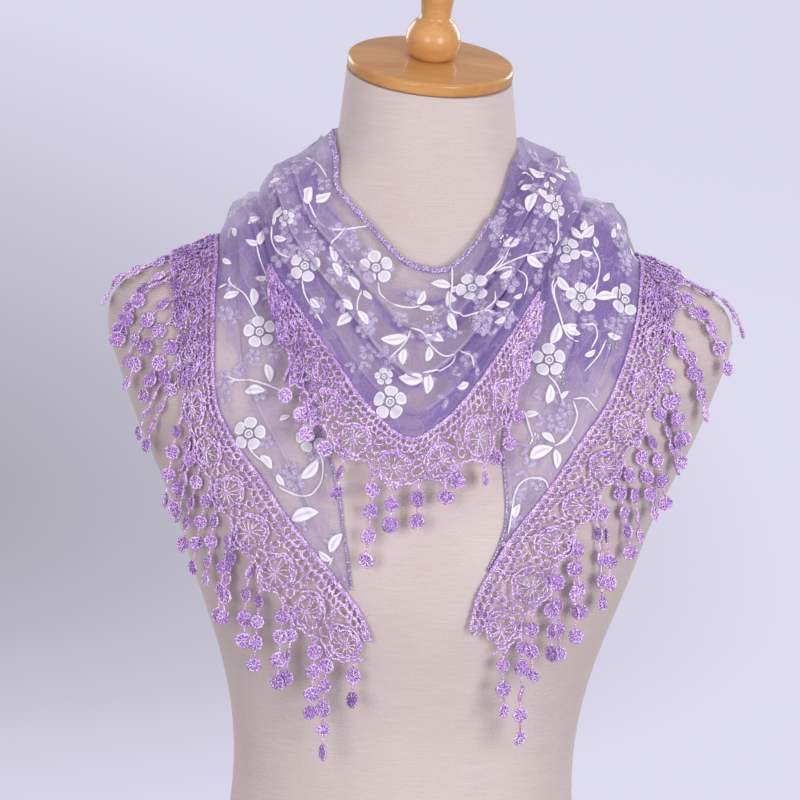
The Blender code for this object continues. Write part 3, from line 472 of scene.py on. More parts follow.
# ---------------------------------------------------------------- materials
class Tone:
    """A number or a colour in a material's node tree, written in plain arithmetic."""

    def __init__(self, tree, socket):
        self.tree = tree
        self.socket = socket

    def feed(self, socket, value):
        if isinstance(value, Tone):
            self.tree.links.new(value.socket, socket)
        else:
            socket.default_value = value

    def node(self, kind, links, output=0, **settings):
        """One output of a new node of that type, its inputs fed by name or number."""
        made = self.tree.nodes.new("ShaderNode" + kind)
        for name, value in settings.items():
            setattr(made, name, value)
        for key, value in links.items():
            self.feed(made.inputs[key], value)
        return Tone(self.tree, made.outputs[output])

    def sum_up(self, operation, *values):
        return self.node("Math", dict(enumerate(values)), operation=operation)

    def __add__(self, other):
        return self.sum_up("ADD", self, other)

    def __sub__(self, other):
        return self.sum_up("SUBTRACT", self, other)

    def __mul__(self, other):
        return self.sum_up("MULTIPLY", self, other)

    def __rsub__(self, other):
        return self.sum_up("SUBTRACT", other, self)

    def sine(self):
        return self.sum_up("SINE", self)

    def least(self, other):
        return self.sum_up("MINIMUM", self, other)

    def between(self, low, high, to_low=0.0, to_high=1.0):
        """The value spread from one range to another, kept inside it."""
        return self.node("MapRange", {0: self, 1: low, 2: high, 3: to_low, 4: to_high}, clamp=True)

    def blend(self, first, second):
        """The first colour where this is 0, the second where it is 1."""
        links = {0: self}
        for number, colour in ((6, first), (7, second)):
            links[number] = colour if isinstance(colour, Tone) else (*colour, 1)
        return self.node("Mix", links, output=2, data_type="RGBA")

    def part(self, axis):
        return self.node("SeparateXYZ", {0: self}, output=axis)

    def noise(self, scale, detail=2.0, roughness=0.5):
        """Soft noise from 0 to 1 over this place."""
        links = {"Vector": self, "Scale": scale, "Detail": detail, "Roughness": roughness}
        return self.node("TexNoise", links)

    def facets(self, scale, feature="F1", output="Color"):
        """A colour for each of many uneven cells, or the distance to their edges."""
        return self.node("TexVoronoi", {"Vector": self, "Scale": scale}, output=output, feature=feature)

    def warped(self, scale, reach):
        """This place pushed about by soft noise, as far as the reach."""
        push = self.node("TexNoise", {"Vector": self, "Scale": scale, "Detail": 2.0}, output="Color")
        return self.node("VectorMath", {0: self, 1: push.stretched(reach, reach, reach)}, operation="ADD")

    def stretched(self, x, y, z):
        return self.node("VectorMath", {0: self, 1: (x, y, z)}, operation="MULTIPLY")

    def bump(self, distance, strength):
        """This height as a normal, with the distance in metres."""
        return self.node("Bump", {"Height": self, "Distance": distance, "Strength": strength})


class Finish:
    """A material in the making: its shader, its places and its own numbers."""

    def __init__(self, name, **fixed):
        self.material = bpy.data.materials.new(name)
        self.material.use_nodes = True
        self.tree = self.material.node_tree
        self.shader = self.tree.nodes["Principled BSDF"]
        self.start = Tone(self.tree, None)
        self.place = self.start.node("TexCoord", {}, output="Object")
        self.cut = self.start.node("TexCoord", {}, output="UV")
        for socket, value in fixed.items():
            self.shader.inputs[socket.replace("_", " ")].default_value = value

    def own(self, name):
        """A number that the mesh carries at each point."""
        return self.start.node("Attribute", {}, output="Fac", attribute_name=name)

    def wear(self, **sockets):
        for socket, value in sockets.items():
            self.start.feed(self.shader.inputs[socket.replace("_", " ")], value)
        return self.material


def linen():
    """Cream linen, tightly woven, with fine level slubs and a little mottling."""
    made = Finish("cream_linen", Roughness=0.86, Sheen_Weight=0.15, Sheen_Roughness=0.5,
                  Specular_IOR_Level=0.25)
    warp = (made.place.part(0) * 4200).sine() * (made.place.part(2) * 4200).sine()
    slub = made.place.stretched(60, 60, 900).noise(1.0, 3.0)
    mottle = made.place.noise(14.0, 4.0)
    shade = (warp * 0.06 + slub * 0.40 + mottle * 0.54).between(0.28, 0.72)
    return made.wear(Base_Color=shade.blend((0.55, 0.463, 0.45), (0.66, 0.575, 0.575)),
                     Roughness=slub.between(0.3, 0.7, 0.8, 0.92),
                     Normal=(warp * 0.5 + slub).bump(0.00014, 0.7))


def varnished_wood():
    """Golden wood under varnish, with fine streaks of grain along X."""
    made = Finish("varnished_wood", Roughness=0.36, Coat_Weight=0.42, Coat_Roughness=0.09, Coat_IOR=1.45,
                  Specular_IOR_Level=0.35)
    grain = made.place.stretched(16, 150, 150).noise(1.0, 5.0, 0.6)
    pores = made.place.stretched(60, 900, 900).noise(1.0, 2.0)
    broad = made.place.stretched(7, 34, 34).noise(1.0, 2.0)
    shade = (grain * 0.45 + broad * 0.55).between(0.30, 0.70)
    colour = shade.blend((0.46, 0.20, 0.055), (0.70, 0.37, 0.135))
    flecks = pores.between(0.62, 0.72)
    return made.wear(Base_Color=(flecks * 0.30).blend(colour, (0.24, 0.09, 0.02)),
                     Roughness=grain.between(0.3, 0.7, 0.30, 0.44),
                     Normal=grain.bump(0.0002, 0.12))


def organza():
    """Sheer lilac organza: fine square weave, crinkled and silky, thicker where the cloth lies double, with
    painted shade, highlights and glints.
    """
    made = Finish("lilac_organza", Roughness=0.48, Sheen_Weight=0.35, Sheen_Roughness=0.35,
                  Sheen_Tint=(0.86, 0.80, 1.0, 1), Specular_IOR_Level=0.4)
    ply = made.own("ply")
    weave = (made.cut.part(0) * 9000).sine() * (made.cut.part(1) * 9000).sine()
    cloudy = made.cut.noise(110.0, 3.0)
    flame = made.cut.stretched(60, 700, 1).noise(1.0, 3.0)
    crinkle = made.cut.stretched(260, 90, 1).noise(1.0, 4.0, 0.6)
    fuzz = made.cut.noise(1400.0, 2.0)
    folded = crinkle.between(0.52, 0.66)
    bent = made.cut.warped(40.0, 0.03).stretched(0.6, 1.5, 1)
    pane = bent.facets(55.0).part(0)
    # lines along the crumples' edges, used for a painted highlight
    crumple_highlight = bent.facets(55.0, "DISTANCE_TO_EDGE", "Distance").between(0.0, 0.045, 1.0, 0.0)
    # ply carries the layers of cloth and also painted shade in the fold valleys
    thick = ply + (cloudy - 0.5) * 0.30 + folded * 0.12 + (pane - 0.45) * 0.34
    rim = made.own("rim")
    colour = thick.between(0.0, 0.9).blend((0.65, 0.515, 0.79), (0.23, 0.145, 0.44))
    colour = thick.between(0.85, 1.5).blend(colour, (0.12, 0.07, 0.26))    # the most crowded folds, and painted shade in the fold valleys
    # painted highlight: lighter lilac along turned-over fold edges and along the crumple lines; the fold
    # edges are also denser
    rim = (rim * 0.55 + crumple_highlight * 0.16).least(1.0)
    colour = rim.blend(colour, (0.70, 0.62, 0.87))
    alpha = thick.between(0.0, 1.1, 0.17, 0.92) + rim * 0.40 + (fuzz - 0.5) * 0.16 + weave * 0.04
    # painted glints: fine near-white speckles over the cloth
    painted_sparkle = fuzz.between(0.5, 0.8) * 0.4 + made.cut.noise(2600.0, 0.0).between(0.70, 0.78) * 0.5
    return made.wear(Base_Color=painted_sparkle.blend(colour, (0.78, 0.70, 0.90)),
                     Alpha=alpha.between(0.0, 1.0),
                     Roughness=flame.between(0.3, 0.7, 0.40, 0.58),
                     Normal=(weave * 0.4 + flame + crinkle * 4.0).bump(0.00035, 0.55))


def satin(name, dark, mid, bright, pitch, alpha=1.0):
    """Satin-stitch thread: slanted stitches across the shape, with a silky shine and dark seams."""
    made = Finish(name, Roughness=0.38, Sheen_Weight=0.25, Specular_IOR_Level=0.55, Alpha=alpha)
    stitch = (made.cut.part(0) * (TURN / pitch)).sine() * 0.5 + 0.5
    # uneven brightness of the thread between its mid and bright colours, which also varies the tonal thread's
    # alpha
    stitch_mottle = made.place.noise(900.0, 3.0, 0.6)
    shade = (stitch * 0.4 + stitch_mottle * 0.9).between(0.25, 0.95)
    colour = made.own("edge").blend(shade.blend(mid, bright), dark)
    if alpha < 1:
        made.wear(Alpha=stitch_mottle.between(0.35, 0.65, alpha - 0.3, alpha + 0.3))
    return made.wear(Base_Color=colour, Roughness=stitch_mottle.between(0.3, 0.7, 0.3, 0.5),
                     Normal=(stitch + stitch_mottle * 0.5).bump(0.00018, 0.55))


def crochet_yarn(name, dark, mid, bright, glint):
    """Shiny two-ply crochet yarn of uneven tone, with painted shade in its twists and painted highlights and
    near-white glints at random spots.
    """
    made = Finish(name, Roughness=0.34, Sheen_Weight=0.3, Sheen_Roughness=0.3,
                  Sheen_Tint=(0.95, 0.85, 1.0, 1), Specular_IOR_Level=0.7)
    around = made.cut.part(0)
    along = made.cut.part(1)
    twist = (along * 2900 + around * 6.2832).sine() * 0.5 + 0.5
    tint = made.place.noise(150.0, 2.0)
    bead = made.place.noise(850.0, 1.0)
    tone_and_shade = made.own("tone_and_shade")
    # painted shade and highlights: twists and random spots run the colour from dark purple to near-white,
    # over uneven tone
    shade = (twist * 0.16 + tint * 0.60 + bead * 0.90 - 0.33).between(0.15, 0.82) * (1 - tone_and_shade)
    colour = shade.between(0.0, 0.5).blend(dark, mid)
    colour = shade.between(0.5, 1.0).blend(colour, bright)
    # painted glints: near-white speckles, fewer where the yarn is darker
    painted_sparkle = made.place.noise(1050.0, 0.0).between(0.54, 0.63) * (1 - tone_and_shade)
    return made.wear(Base_Color=(painted_sparkle * 0.85).blend(colour, glint),
                     Roughness=bead.between(0.3, 0.7, 0.45, 0.24),
                     Normal=(twist + bead * 1.2).bump(0.0003, 0.8))


def sequin():
    """Small silvery sequins, each with a glint painted into its colour."""
    made = Finish("silver_sequin", Metallic=0.55, Roughness=0.3)
    glint = made.place.noise(900.0, 1.0)
    # painted glints and reflections: the colour runs from grey to near-white by noise
    return made.wear(Base_Color=glint.between(0.35, 0.65).blend((0.40, 0.38, 0.46), (0.92, 0.90, 0.94)),
                     Roughness=glint.between(0.3, 0.7, 0.1, 0.32), Normal=glint.bump(0.0006, 0.8))


def studio_paper():
    """Pale lilac-grey studio paper, lit evenly by its own faint glow, except for a painted shadow near one
    place.
    """
    made = Finish("studio_paper", Roughness=0.95, Specular_IOR_Level=0.0, Emission_Strength=1.0)
    cloudy = made.place.noise(0.5, 2.0)
    # painted shadow: the glow is dimmer near this place, fading out by 1.6 m
    painted_shadow_distance = made.place.node("VectorMath", {0: made.place, 1: (-1.0, 2.1, 0.2)}, output="Value",
                            operation="DISTANCE")
    lit = cloudy.blend((0.645, 0.63, 0.765), (0.685, 0.67, 0.81))
    return made.wear(Base_Color=cloudy.blend((0.070, 0.068, 0.078), (0.075, 0.073, 0.083)),
                     Emission_Color=painted_shadow_distance.between(0.3, 1.6).blend((0.31, 0.30, 0.355), lit),
                     Normal=made.place.noise(900.0, 2.0).bump(0.0001, 0.2))


# ---------------------------------------------------------------- form, cap and finial
SAME_RATIO = 1e-9      # two ratios that differ less are the same
ON_RING = 1e-6         # metres within which a vertex belongs to a ring
OFF_MIDDLE = 1e-7      # metres beyond which a vertex lies in front of the middle or behind it


def finished(piece, look, slot, *nodes):
    """Gives a piece its look, sets it under the root body and hides the nodes that it stands for; the slot is
    not used.
    """
    piece.data.materials.clear()
    piece.data.materials.append(look)
    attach(piece, "root")
    if nodes:
        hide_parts(*nodes)
    return piece


def chosen(test):
    """Selects the vertices in edit mode whose place passes the test."""
    work = bmesh.from_edit_mesh(bpy.context.edit_object.data)
    work.select_mode = {"VERT"}
    for vertex in work.verts:
        vertex.select = bool(test(vertex.co))
    work.select_flush_mode()
    bmesh.update_edit_mesh(bpy.context.edit_object.data)


def upright(name, sides, rows, power=2.0):
    """A body raised ring by ring. Rows are height, half width, front depth and back depth."""
    bpy.ops.object.select_all(action="DESELECT")
    z = rows[0][0]
    bpy.ops.mesh.primitive_circle_add(vertices=sides, radius=MM, fill_type="NGON",
                                      location=(0, 0, z * MM))
    piece = bpy.context.object
    piece.name = piece.data.name = name
    bpy.ops.object.transform_apply(location=True, rotation=False, scale=False)
    bpy.ops.object.mode_set(mode="EDIT")
    work = bmesh.from_edit_mesh(piece.data)
    for vertex in work.verts:
        angle = math.atan2(vertex.co.y, vertex.co.x)
        for axis, size in ((0, math.cos(angle)), (1, math.sin(angle))):
            vertex.co[axis] = MM * math.copysign(abs(size) ** (2 / power), size)
    bmesh.update_edit_mesh(piece.data)
    size = np.ones(3)
    for number, row in enumerate(rows):
        if number:
            raised = (0, 0, (row[0] - z) * MM)
            bpy.ops.mesh.extrude_region_move(TRANSFORM_OT_translate={"value": raised})
        z = row[0]
        wanted = np.array(row[1:])
        ratio = wanted / size
        size = wanted
        centre = (0, 0, z * MM)
        bpy.ops.transform.resize(value=(ratio[0], 1, 1), center_override=centre)
        if abs(ratio[1] - ratio[2]) < SAME_RATIO:
            bpy.ops.transform.resize(value=(1, ratio[1], 1), center_override=centre)
            continue
        for side, grow in ((-1, ratio[1]), (1, ratio[2])):
            chosen(lambda at: abs(at.z - centre[2]) < ON_RING and side * at.y > OFF_MIDDLE)
            bpy.ops.transform.resize(value=(1, grow, 1), center_override=centre)
        chosen(lambda at: abs(at.z - centre[2]) < ON_RING)
    return piece


def leaned(centre):
    """Turns what is selected like the neck's end: down at the front, and a little down at the right."""
    bpy.ops.transform.rotate(value=-NECK_LEAN, orient_axis="X", center_override=centre)
    bpy.ops.transform.rotate(value=-NECK_TIP, orient_axis="Y", center_override=centre)


def close_piece(piece, angle=40.0):
    """Leaves edit mode, with the faces outward and only edges sharper than the angle kept sharp."""
    bpy.ops.mesh.select_all(action="SELECT")
    bpy.ops.mesh.normals_make_consistent(inside=False)
    bpy.ops.object.mode_set(mode="OBJECT")
    bpy.ops.object.shade_smooth_by_angle(angle=math.radians(angle))
    return piece


def dress_form(look):
    """The padded torso, with a flat base, finer rings at the shoulders and a sloping neck end."""
    heights = np.concatenate([np.arange(0, 500, 12.5), np.arange(500, 650, 5), [650, 661, NECK_TOP]])
    rows = [(z, *smooth(np.array([z]), FORM_ROWS[:, 0], FORM_ROWS[:, 1:])[0]) for z in heights]
    piece = upright("form_body", FORM_SIDES, rows, FORM_POWER)
    top = (0, 0, NECK_TOP * MM)
    bpy.ops.transform.resize(value=(1, 1 / math.cos(NECK_LEAN), 1), center_override=top)
    leaned(top)
    close_piece(piece)
    return finished(piece, look, "linen", "dress_form")


def set_on_neck(piece):
    """Leans an upright turned piece onto the neck's sloping end."""
    bpy.ops.mesh.select_all(action="SELECT")
    leaned((0, 0, 0))
    bpy.ops.transform.translate(value=(0, 0, NECK_TOP * MM))
    return close_piece(piece, 50.0)


def neck_cap(look):
    """The wooden disc: straight sides, both rims rounded, and the top a very low cone."""
    low = REST
    top = low + CAP_THICK
    profile = [(low, CAP_RADIUS - CAP_ROUND)]
    for turn in np.linspace(0.2, 1, 5) * math.pi / 2:
        rise, inward = CAP_ROUND * (1 - math.cos(turn)), CAP_ROUND * (1 - math.sin(turn))
        profile.append((low + rise, CAP_RADIUS - inward))
    for turn in np.linspace(0, 1, 7) * math.pi / 2:
        rise, inward = CAP_ROUND * (1 - math.sin(turn)), CAP_ROUND * (1 - math.cos(turn))
        profile.append((top - rise, CAP_RADIUS - inward))
    for inward, rise in ((8.0, 0.13), (20.0, 0.5), (34.0, 0.85), (40.0, 1.0)):
        profile.append((top + rise * CAP_CROWN, CAP_RADIUS - inward))
    rows = [(z, r, r, r) for z, r in profile]
    piece = upright("cap_disc", CAP_SIDES, rows)
    set_on_neck(piece)
    return finished(piece, look, "wood", "neck_cap")


def finial(look):
    """The turned ball and its stem, raised from the table's smooth profile."""
    low = 2 * REST + CAP_THICK + CAP_CROWN
    table = np.array(FINIAL_ROWS)
    shape = on_rows(np.linspace(0, len(table) - 1, FINIAL_RINGS), table)
    rows = [(low + height, radius, radius, radius) for radius, height in shape]
    piece = upright("finial_turned", FINIAL_SIDES, rows)
    set_on_neck(piece)
    return finished(piece, look, "wood", "finial")


# ---------------------------------------------------------------- meshes from points
END_SIZE = 0.55        # share of its radius to which a cord's end is drawn in
STITCH_SLANT = 0.0011  # metres that a stitch runs on along a line as it goes round it


def mesh_piece(name, points, faces, uvs, own):
    """An object from points in millimetres. The uvs and the mesh's own numbers go with its points."""
    mesh = bpy.data.meshes.new(name)
    count, sides = faces.shape
    mesh.vertices.add(len(points))
    mesh.vertices.foreach_set("co", (points * MM).astype(np.float32).ravel())
    mesh.loops.add(count * sides)
    mesh.loops.foreach_set("vertex_index", faces.astype(np.int32).ravel())
    mesh.polygons.add(count)
    mesh.polygons.foreach_set("loop_start", (np.arange(count) * sides).astype(np.int32))
    mesh.polygons.foreach_set("loop_total", np.full(count, sides, dtype=np.int32))
    mesh.update(calc_edges=True)
    mesh.validate()
    mesh.polygons.foreach_set("use_smooth", np.full(len(mesh.polygons), True))
    layer = mesh.uv_layers.new(name="cut")
    layer.data.foreach_set("uv", uvs[faces.ravel()].astype(np.float32).ravel())
    for label, numbers in own.items():
        values = mesh.attributes.new(label, "FLOAT", "POINT").data
        values.foreach_set("value", numbers.astype(np.float32))
    made = bpy.data.objects.new(name, mesh)
    bpy.context.scene.collection.objects.link(made)
    return made


class Heap:
    """Points and four-sided faces of many small shapes that become one mesh."""

    def __init__(self):
        self.points, self.faces, self.uvs, self.own = [], [], [], []
        self.count = 0

    def add(self, points, faces, uvs, own=0.0):
        """Adds a shape; uvs and own are given for each point, or own as one number for all."""
        points = points.reshape(-1, 3)
        self.points.append(points)
        self.faces.append(faces + self.count)
        self.uvs.append(uvs.reshape(-1, 2))
        self.own.append(np.broadcast_to(np.ravel(own), len(points)))
        self.count += len(points)

    def piece(self, name, label):
        return mesh_piece(name, np.concatenate(self.points), np.concatenate(self.faces),
                          np.concatenate(self.uvs), {label: np.concatenate(self.own)})


def net(rows, columns, round_columns=False):
    """Four-sided faces of a grid of points, closed round its columns or not."""
    last = columns if round_columns else columns - 1
    i, j = np.meshgrid(np.arange(rows - 1), np.arange(last), indexing="ij")
    k = (j + 1) % columns
    corners = [i * columns + j, i * columns + k, (i + 1) * columns + k, (i + 1) * columns + j]
    return np.stack(corners, axis=-1).reshape(-1, 4)


def unit(vectors):
    """The vectors at length 1; a tiny floor keeps a zero vector from dividing by zero."""
    return vectors / np.maximum(np.linalg.norm(vectors, axis=-1, keepdims=True), 1e-9)


def cords(heap, paths, normals, radius, sides=5, tone_and_shade=0.0, flat=1.0, closed=False, stitched=False):
    """Adds tubes of yarn along paths of points, all of one length, with round ends drawn in.

    paths and normals are strand x point x 3; the radius may differ from point to point.
    """
    paths = np.asarray(paths, dtype=float)
    if paths.ndim == 2:
        paths, normals = paths[None], np.asarray(normals)[None]
    count, steps = paths.shape[:2]
    if closed:
        ahead = np.roll(paths, -1, axis=1) - np.roll(paths, 1, axis=1)
    else:
        ahead = np.gradient(paths, axis=1)
    ahead = unit(ahead)
    side = unit(np.cross(ahead, normals))
    up = np.cross(side, ahead)
    radius = np.broadcast_to(np.asarray(radius, dtype=float), (count, steps)).copy()
    if not closed:
        radius[:, [0, -1]] *= END_SIZE
    turn = TURN * np.arange(sides) / sides
    ring = side[:, :, None] * np.cos(turn)[:, None] + up[:, :, None] * (flat * np.sin(turn))[:, None]
    points = paths[:, :, None] + ring * radius[:, :, None, None]
    run = (run_of(paths) * MM)[:, :, None]
    around = np.arange(sides)[None, None, :] / sides
    across, forward = (run + STITCH_SLANT * around, around * MM) if stitched else (around, run)
    uvs = np.stack(np.broadcast_arrays(across, forward), axis=-1)
    one = net(steps, sides, True)
    if closed:
        k = np.arange(sides)
        last = (steps - 1) * sides
        one = np.concatenate([one, np.stack([last + k, last + (k + 1) % sides, (k + 1) % sides, k], axis=1)])
    faces = (one[None] + (np.arange(count) * steps * sides)[:, None, None]).reshape(-1, 4)
    tone_and_shade = np.broadcast_to(np.broadcast_to(tone_and_shade, (count, steps))[:, :, None], (count, steps, sides))
    heap.add(points, faces[:, ::-1], uvs, tone_and_shade)


# ---------------------------------------------------------------- the shawl's cloth
WAVES = 7              # waves that are laid over one another in a ripple
TUCK_END = 9.5         # rib at which the tuck has died away
LAP_END = 4.5          # rib at which the lap has died away
LEAST_GAP = 0.9        # the cloth comes no nearer to the form than this, unless its own edge does
FOLD_EDGE = 0.58       # share of a fold at which its edge lies
FOLD_CRISP = 0.05      # share of a fold over which its edge fades
CREST_REACH = 0.2      # how far a sheet reaches towards its neighbour at a shoulder


def ripple(u, v, seed, closest=3.0):
    """Uneven soft waves over a cloth from about -1 to 1, the same each time for a seed.

    The higher the last value, the closer together they lie.
    """
    draw = np.random.default_rng(seed)
    total = np.zeros(np.broadcast(u, v).shape)
    for number in range(WAVES):
        across, along, turn = draw.normal(0, closest), draw.normal(0, closest), draw.uniform(0, TURN)
        total = total + np.cos(across * u + along * v + turn) / (1 + 0.15 * number)
    return total / (0.55 * WAVES)


def drape(ribs, pitch, across, folds, drift, lean, crush, seed, tuck=0.0, lap=0.0):
    """A fine grid of a draped stretch, a row for each rib and a column from its first edge to its seam.

    The folds lean over downwards, unevenly, so that the cloth lies over itself in places. The tuck is how
    far the upper part of the first edge goes on under the neighbouring stretch, and the lap is how high it
    rises there.
    """
    stations, _, length = even_stations(ribs[:, 3:6], pitch)
    made = on_rows(stations, ribs)
    under = tuck * np.clip((TUCK_END - stations) / 3, 0, 1)[:, None]
    made[:, 0:3] -= under * unit(made[:, 3:6] - made[:, 0:3])
    t = np.linspace(0, 1, across)[None, :].clip(1e-9, 1 - 1e-9)
    along = (stations / (len(ribs) - 1))[:, None]
    neck_gap, puff, seam_gap, depth = (made[:, None, k] for k in range(6, 10))
    calm = np.sin(math.pi * t) ** 0.5
    # where along each rib the folds lie
    uneven = ripple(2.2 * t, 5.0 * along, seed, 1.6)
    broad = ripple(1.5 * t, 2.0 * along, seed + 9, 1.5)
    theta = TURN * (folds * t + drift * along) + (1.2 * uneven + 1.3 * broad) * calm
    wave = 0.5 - 0.5 * np.cos(theta)
    strength = 0.75 + 0.35 * ripple(3.0 * t, 4.0 * along, seed + 1, 1.8)
    # soft waves and sharp ridges over them
    creases = 0.35 * ripple(16.0 * t, 9.0 * along, seed + 2, 3.0)
    creases = creases + 0.25 * ripple(40.0 * t, 22.0 * along, seed + 3, 2.0)
    for number, (fine_t, fine_u) in enumerate(((5.0, 6.0), (9.0, 13.0), (17.0, 24.0))):
        ridge = (1 - np.abs(ripple(fine_t * t, fine_u * along, seed + 5 + number, 1.6))).clip(0, 1)
        creases = creases + (0.75 - 0.15 * number) * ridge ** 5
    crushed = crush * (1 - 0.6 * np.abs(2 * along - 1) ** 4) * creases * calm
    over = lean * (0.6 + 0.5 * ripple(2.0 * t, 6.0 * along, seed + 4, 1.5)).clip(0, 1.3)
    slid = over * np.cos(theta) * calm / (TURN * folds) * np.minimum(1, 3 * t) * np.minimum(1, 3 - 3 * t)
    moved = (t - slid).clip(0, 1)
    flat = made[:, None, 0:3] + (made[:, None, 3:6] - made[:, None, 0:3]) * moved[..., None]
    gap = (neck_gap + (seam_gap - neck_gap) * moved + puff * np.sin(math.pi * moved) ** 1.2
           + depth * wave * calm * strength + crushed)
    reach = (np.clip(2 * stations, 0, 1) * np.clip((LAP_END - stations) / 1.5, 0, 1))[:, None]
    gap = gap + reach * (lap - neck_gap).clip(0) * (1 - t / 0.17).clip(0) ** 1.5
    least = np.minimum(LEAST_GAP + 0 * gap, np.minimum(neck_gap, seam_gap))
    grid, away = seat(flat, np.maximum(gap, least))
    # cut sizes: the run along the seam, and the run across each rib
    cut_u = np.linspace(0, length, len(stations))[:, None] * np.ones((1, across))
    normal = unit(np.cross(np.gradient(grid, axis=0), np.gradient(grid, axis=1)))
    # where a fold turns over; the organza paints a highlight along it
    turned_over = hill(wrapped(theta - math.pi) / 0.22) * calm * (over > 0.8)
    turned_over = turned_over * (0.5 + 0.7 * ripple(4 * t, 9 * along, seed + 10)).clip(0, 1)
    return {
        "grid": grid,
        "cut": np.stack([cut_u, run_of(grid)], axis=-1) * MM,
        "tilt": 1 - np.abs(np.sum(normal * away, axis=-1)),
        "rim": turned_over,
        # where the cloth lies lowest between folds: more layers there, and painted shade
        "valley_layers_and_shade": hill(wrapped(theta) / 0.7) * calm,
        "along": along,
        "across": t,
        "theta": theta,
    }


def layered(stretch, low, high):
    """How dense the cloth looks: a crisp edge under each fold, then denser up to the next one.

    low and high give the density just below each fold's edge and just above the next.
    """
    phase = stretch["theta"] / TURN - FOLD_EDGE
    fold = np.clip(np.floor(phase).astype(int) + 1, 0, len(low) - 1)
    share = phase - np.floor(phase)
    ply = np.take(low, fold) + (np.take(high, fold) - np.take(low, fold)) * share ** 1.3
    before = np.take(high, np.maximum(fold - 1, 0))
    fade = np.clip(1 - share / FOLD_CRISP, 0, 1)
    return ply + (before - ply) * fade ** 2 * (fold > 0)


def cloth_piece(name, stretch, base, look, node, most=1.5, crests=(0, -1)):
    """The organza of one stretch as a single thin sheet, closed up to its neighbours at the shoulders."""
    grid = stretch["grid"]
    for end in crests:
        inner = 1 if end == 0 else -2
        grid[end] += CREST_REACH * unit(grid[end] - grid[inner])
    rows, columns = grid.shape[:2]
    u, t = stretch["along"], stretch["across"]
    # the base density includes painted shade in the fold valleys
    ply = base + 0.9 * stretch["tilt"].clip(0, 0.6) + 0.12 * ripple(6 * t, 14 * u, 40 + rows)
    hem = np.maximum(hill(t * 60), hill((1 - t) * 60))
    ply = np.maximum(ply, 0.9 * hem).clip(0, most)
    for end in crests:
        ply = ply + (0.55 - ply) * hill((u + end) / 0.07)
    piece = mesh_piece(name, grid.reshape(-1, 3), net(rows, columns), stretch["cut"].reshape(-1, 2),
                       {"ply": ply.reshape(-1), "rim": stretch["rim"].reshape(-1)})
    face_out(piece)
    return finished(piece, look, "cloth", node)


def face_out(piece):
    """Turns an open sheet so that its faces look away from the form's axis."""
    work = bmesh.new()
    work.from_mesh(piece.data)
    outward = sum(f.normal.x * f.calc_center_median().x + f.normal.y * f.calc_center_median().y
                  for f in work.faces)
    if outward < 0:
        bmesh.ops.reverse_faces(work, faces=work.faces)
        work.to_mesh(piece.data)
    work.free()


# ---------------------------------------------------------------- embroidery
DROP = 14.0            # how far from the form's offset surface the cloth is looked for
FOLLOW = 0.5           # how far a shape follows the cloth up or down at its anchor
WANDER = 2.2           # how much farther at each FAR from it
FAR = 8
LEAF_PLUMP = 0.48      # a leaf's width as a share of its length
STEM_THICK = 0.60
SHADE_DOMES = (0.0, 0.4, 0.95)


class Ground:
    """A cloth to embroider on: finds the cloth under a point and how high it stands there."""

    def __init__(self, piece):
        points = np.empty(len(piece.data.vertices) * 3)
        piece.data.vertices.foreach_get("co", points)
        points = points.reshape(-1, 3) / MM
        faces = [tuple(p.vertices) for p in piece.data.polygons]
        self.tree = BVHTree.FromPolygons(points.tolist(), faces)

    def seen_from(self, eye, through):
        """The cloth's place that lies foremost on the line from the eye, and how far off it is."""
        place = self.tree.ray_cast(eye.tolist(), unit(through - eye).tolist())
        return (None, 1e9) if place[0] is None else (np.array(place[0]), place[3])


def hoop(anchor):
    """The directions to the side, up and away at a point of the cloth."""
    away = off_form(anchor[None])[1][0]
    up = unit(np.array([0, 0, 1.0]) - away * away[2])
    return np.cross(up, away), up, away


def laid_on(ground, anchor, flat, lift):
    """Points of a flat shape, in mm beside the anchor, laid on the cloth and raised by the lift.

    The last value says which of them have cloth under them.
    """
    side, up, _ = hoop(anchor)
    start = anchor + flat[..., :1] * side + flat[..., 1:2] * up
    shape = start.shape[:-1]
    lift = np.broadcast_to(lift, shape).reshape(-1)
    start = start.reshape(-1, 3)
    distance, way = off_form(start)
    base = off_form(anchor[None])[0][0]
    # bend round the form, then drop onto the cloth
    bent = start + way * (base - distance)[:, None]
    heights = np.full(len(bent), np.nan)
    for number, (place, out) in enumerate(zip(bent, way)):
        hit = ground.tree.ray_cast((place + out * DROP).tolist(), (-out).tolist(), 2 * DROP)
        if hit[0] is not None:
            heights[number] = DROP - hit[3]
    known = ~np.isnan(heights)
    heights[~known] = np.median(heights[known]) if known.any() else 0.0
    limit = FOLLOW + WANDER * np.linalg.norm(flat.reshape(-1, 2), axis=1) / FAR
    heights = np.clip(heights, -limit, limit)
    placed = bent + way * (heights + lift)[:, None]
    return placed.reshape(*shape, 3), way.reshape(*shape, 3), known.reshape(shape)


def turned_flat(points, angle):
    """Flat points turned about the anchor."""
    x, y = points[..., 0], points[..., 1]
    c, s = math.cos(angle), math.sin(angle)
    return np.stack([x * c - y * s, x * s + y * c], axis=-1)


def circle(count):
    """Points round a circle of radius 1."""
    turn = np.linspace(0, TURN, count, endpoint=False)
    return np.stack([np.cos(turn), np.sin(turn)], axis=-1)


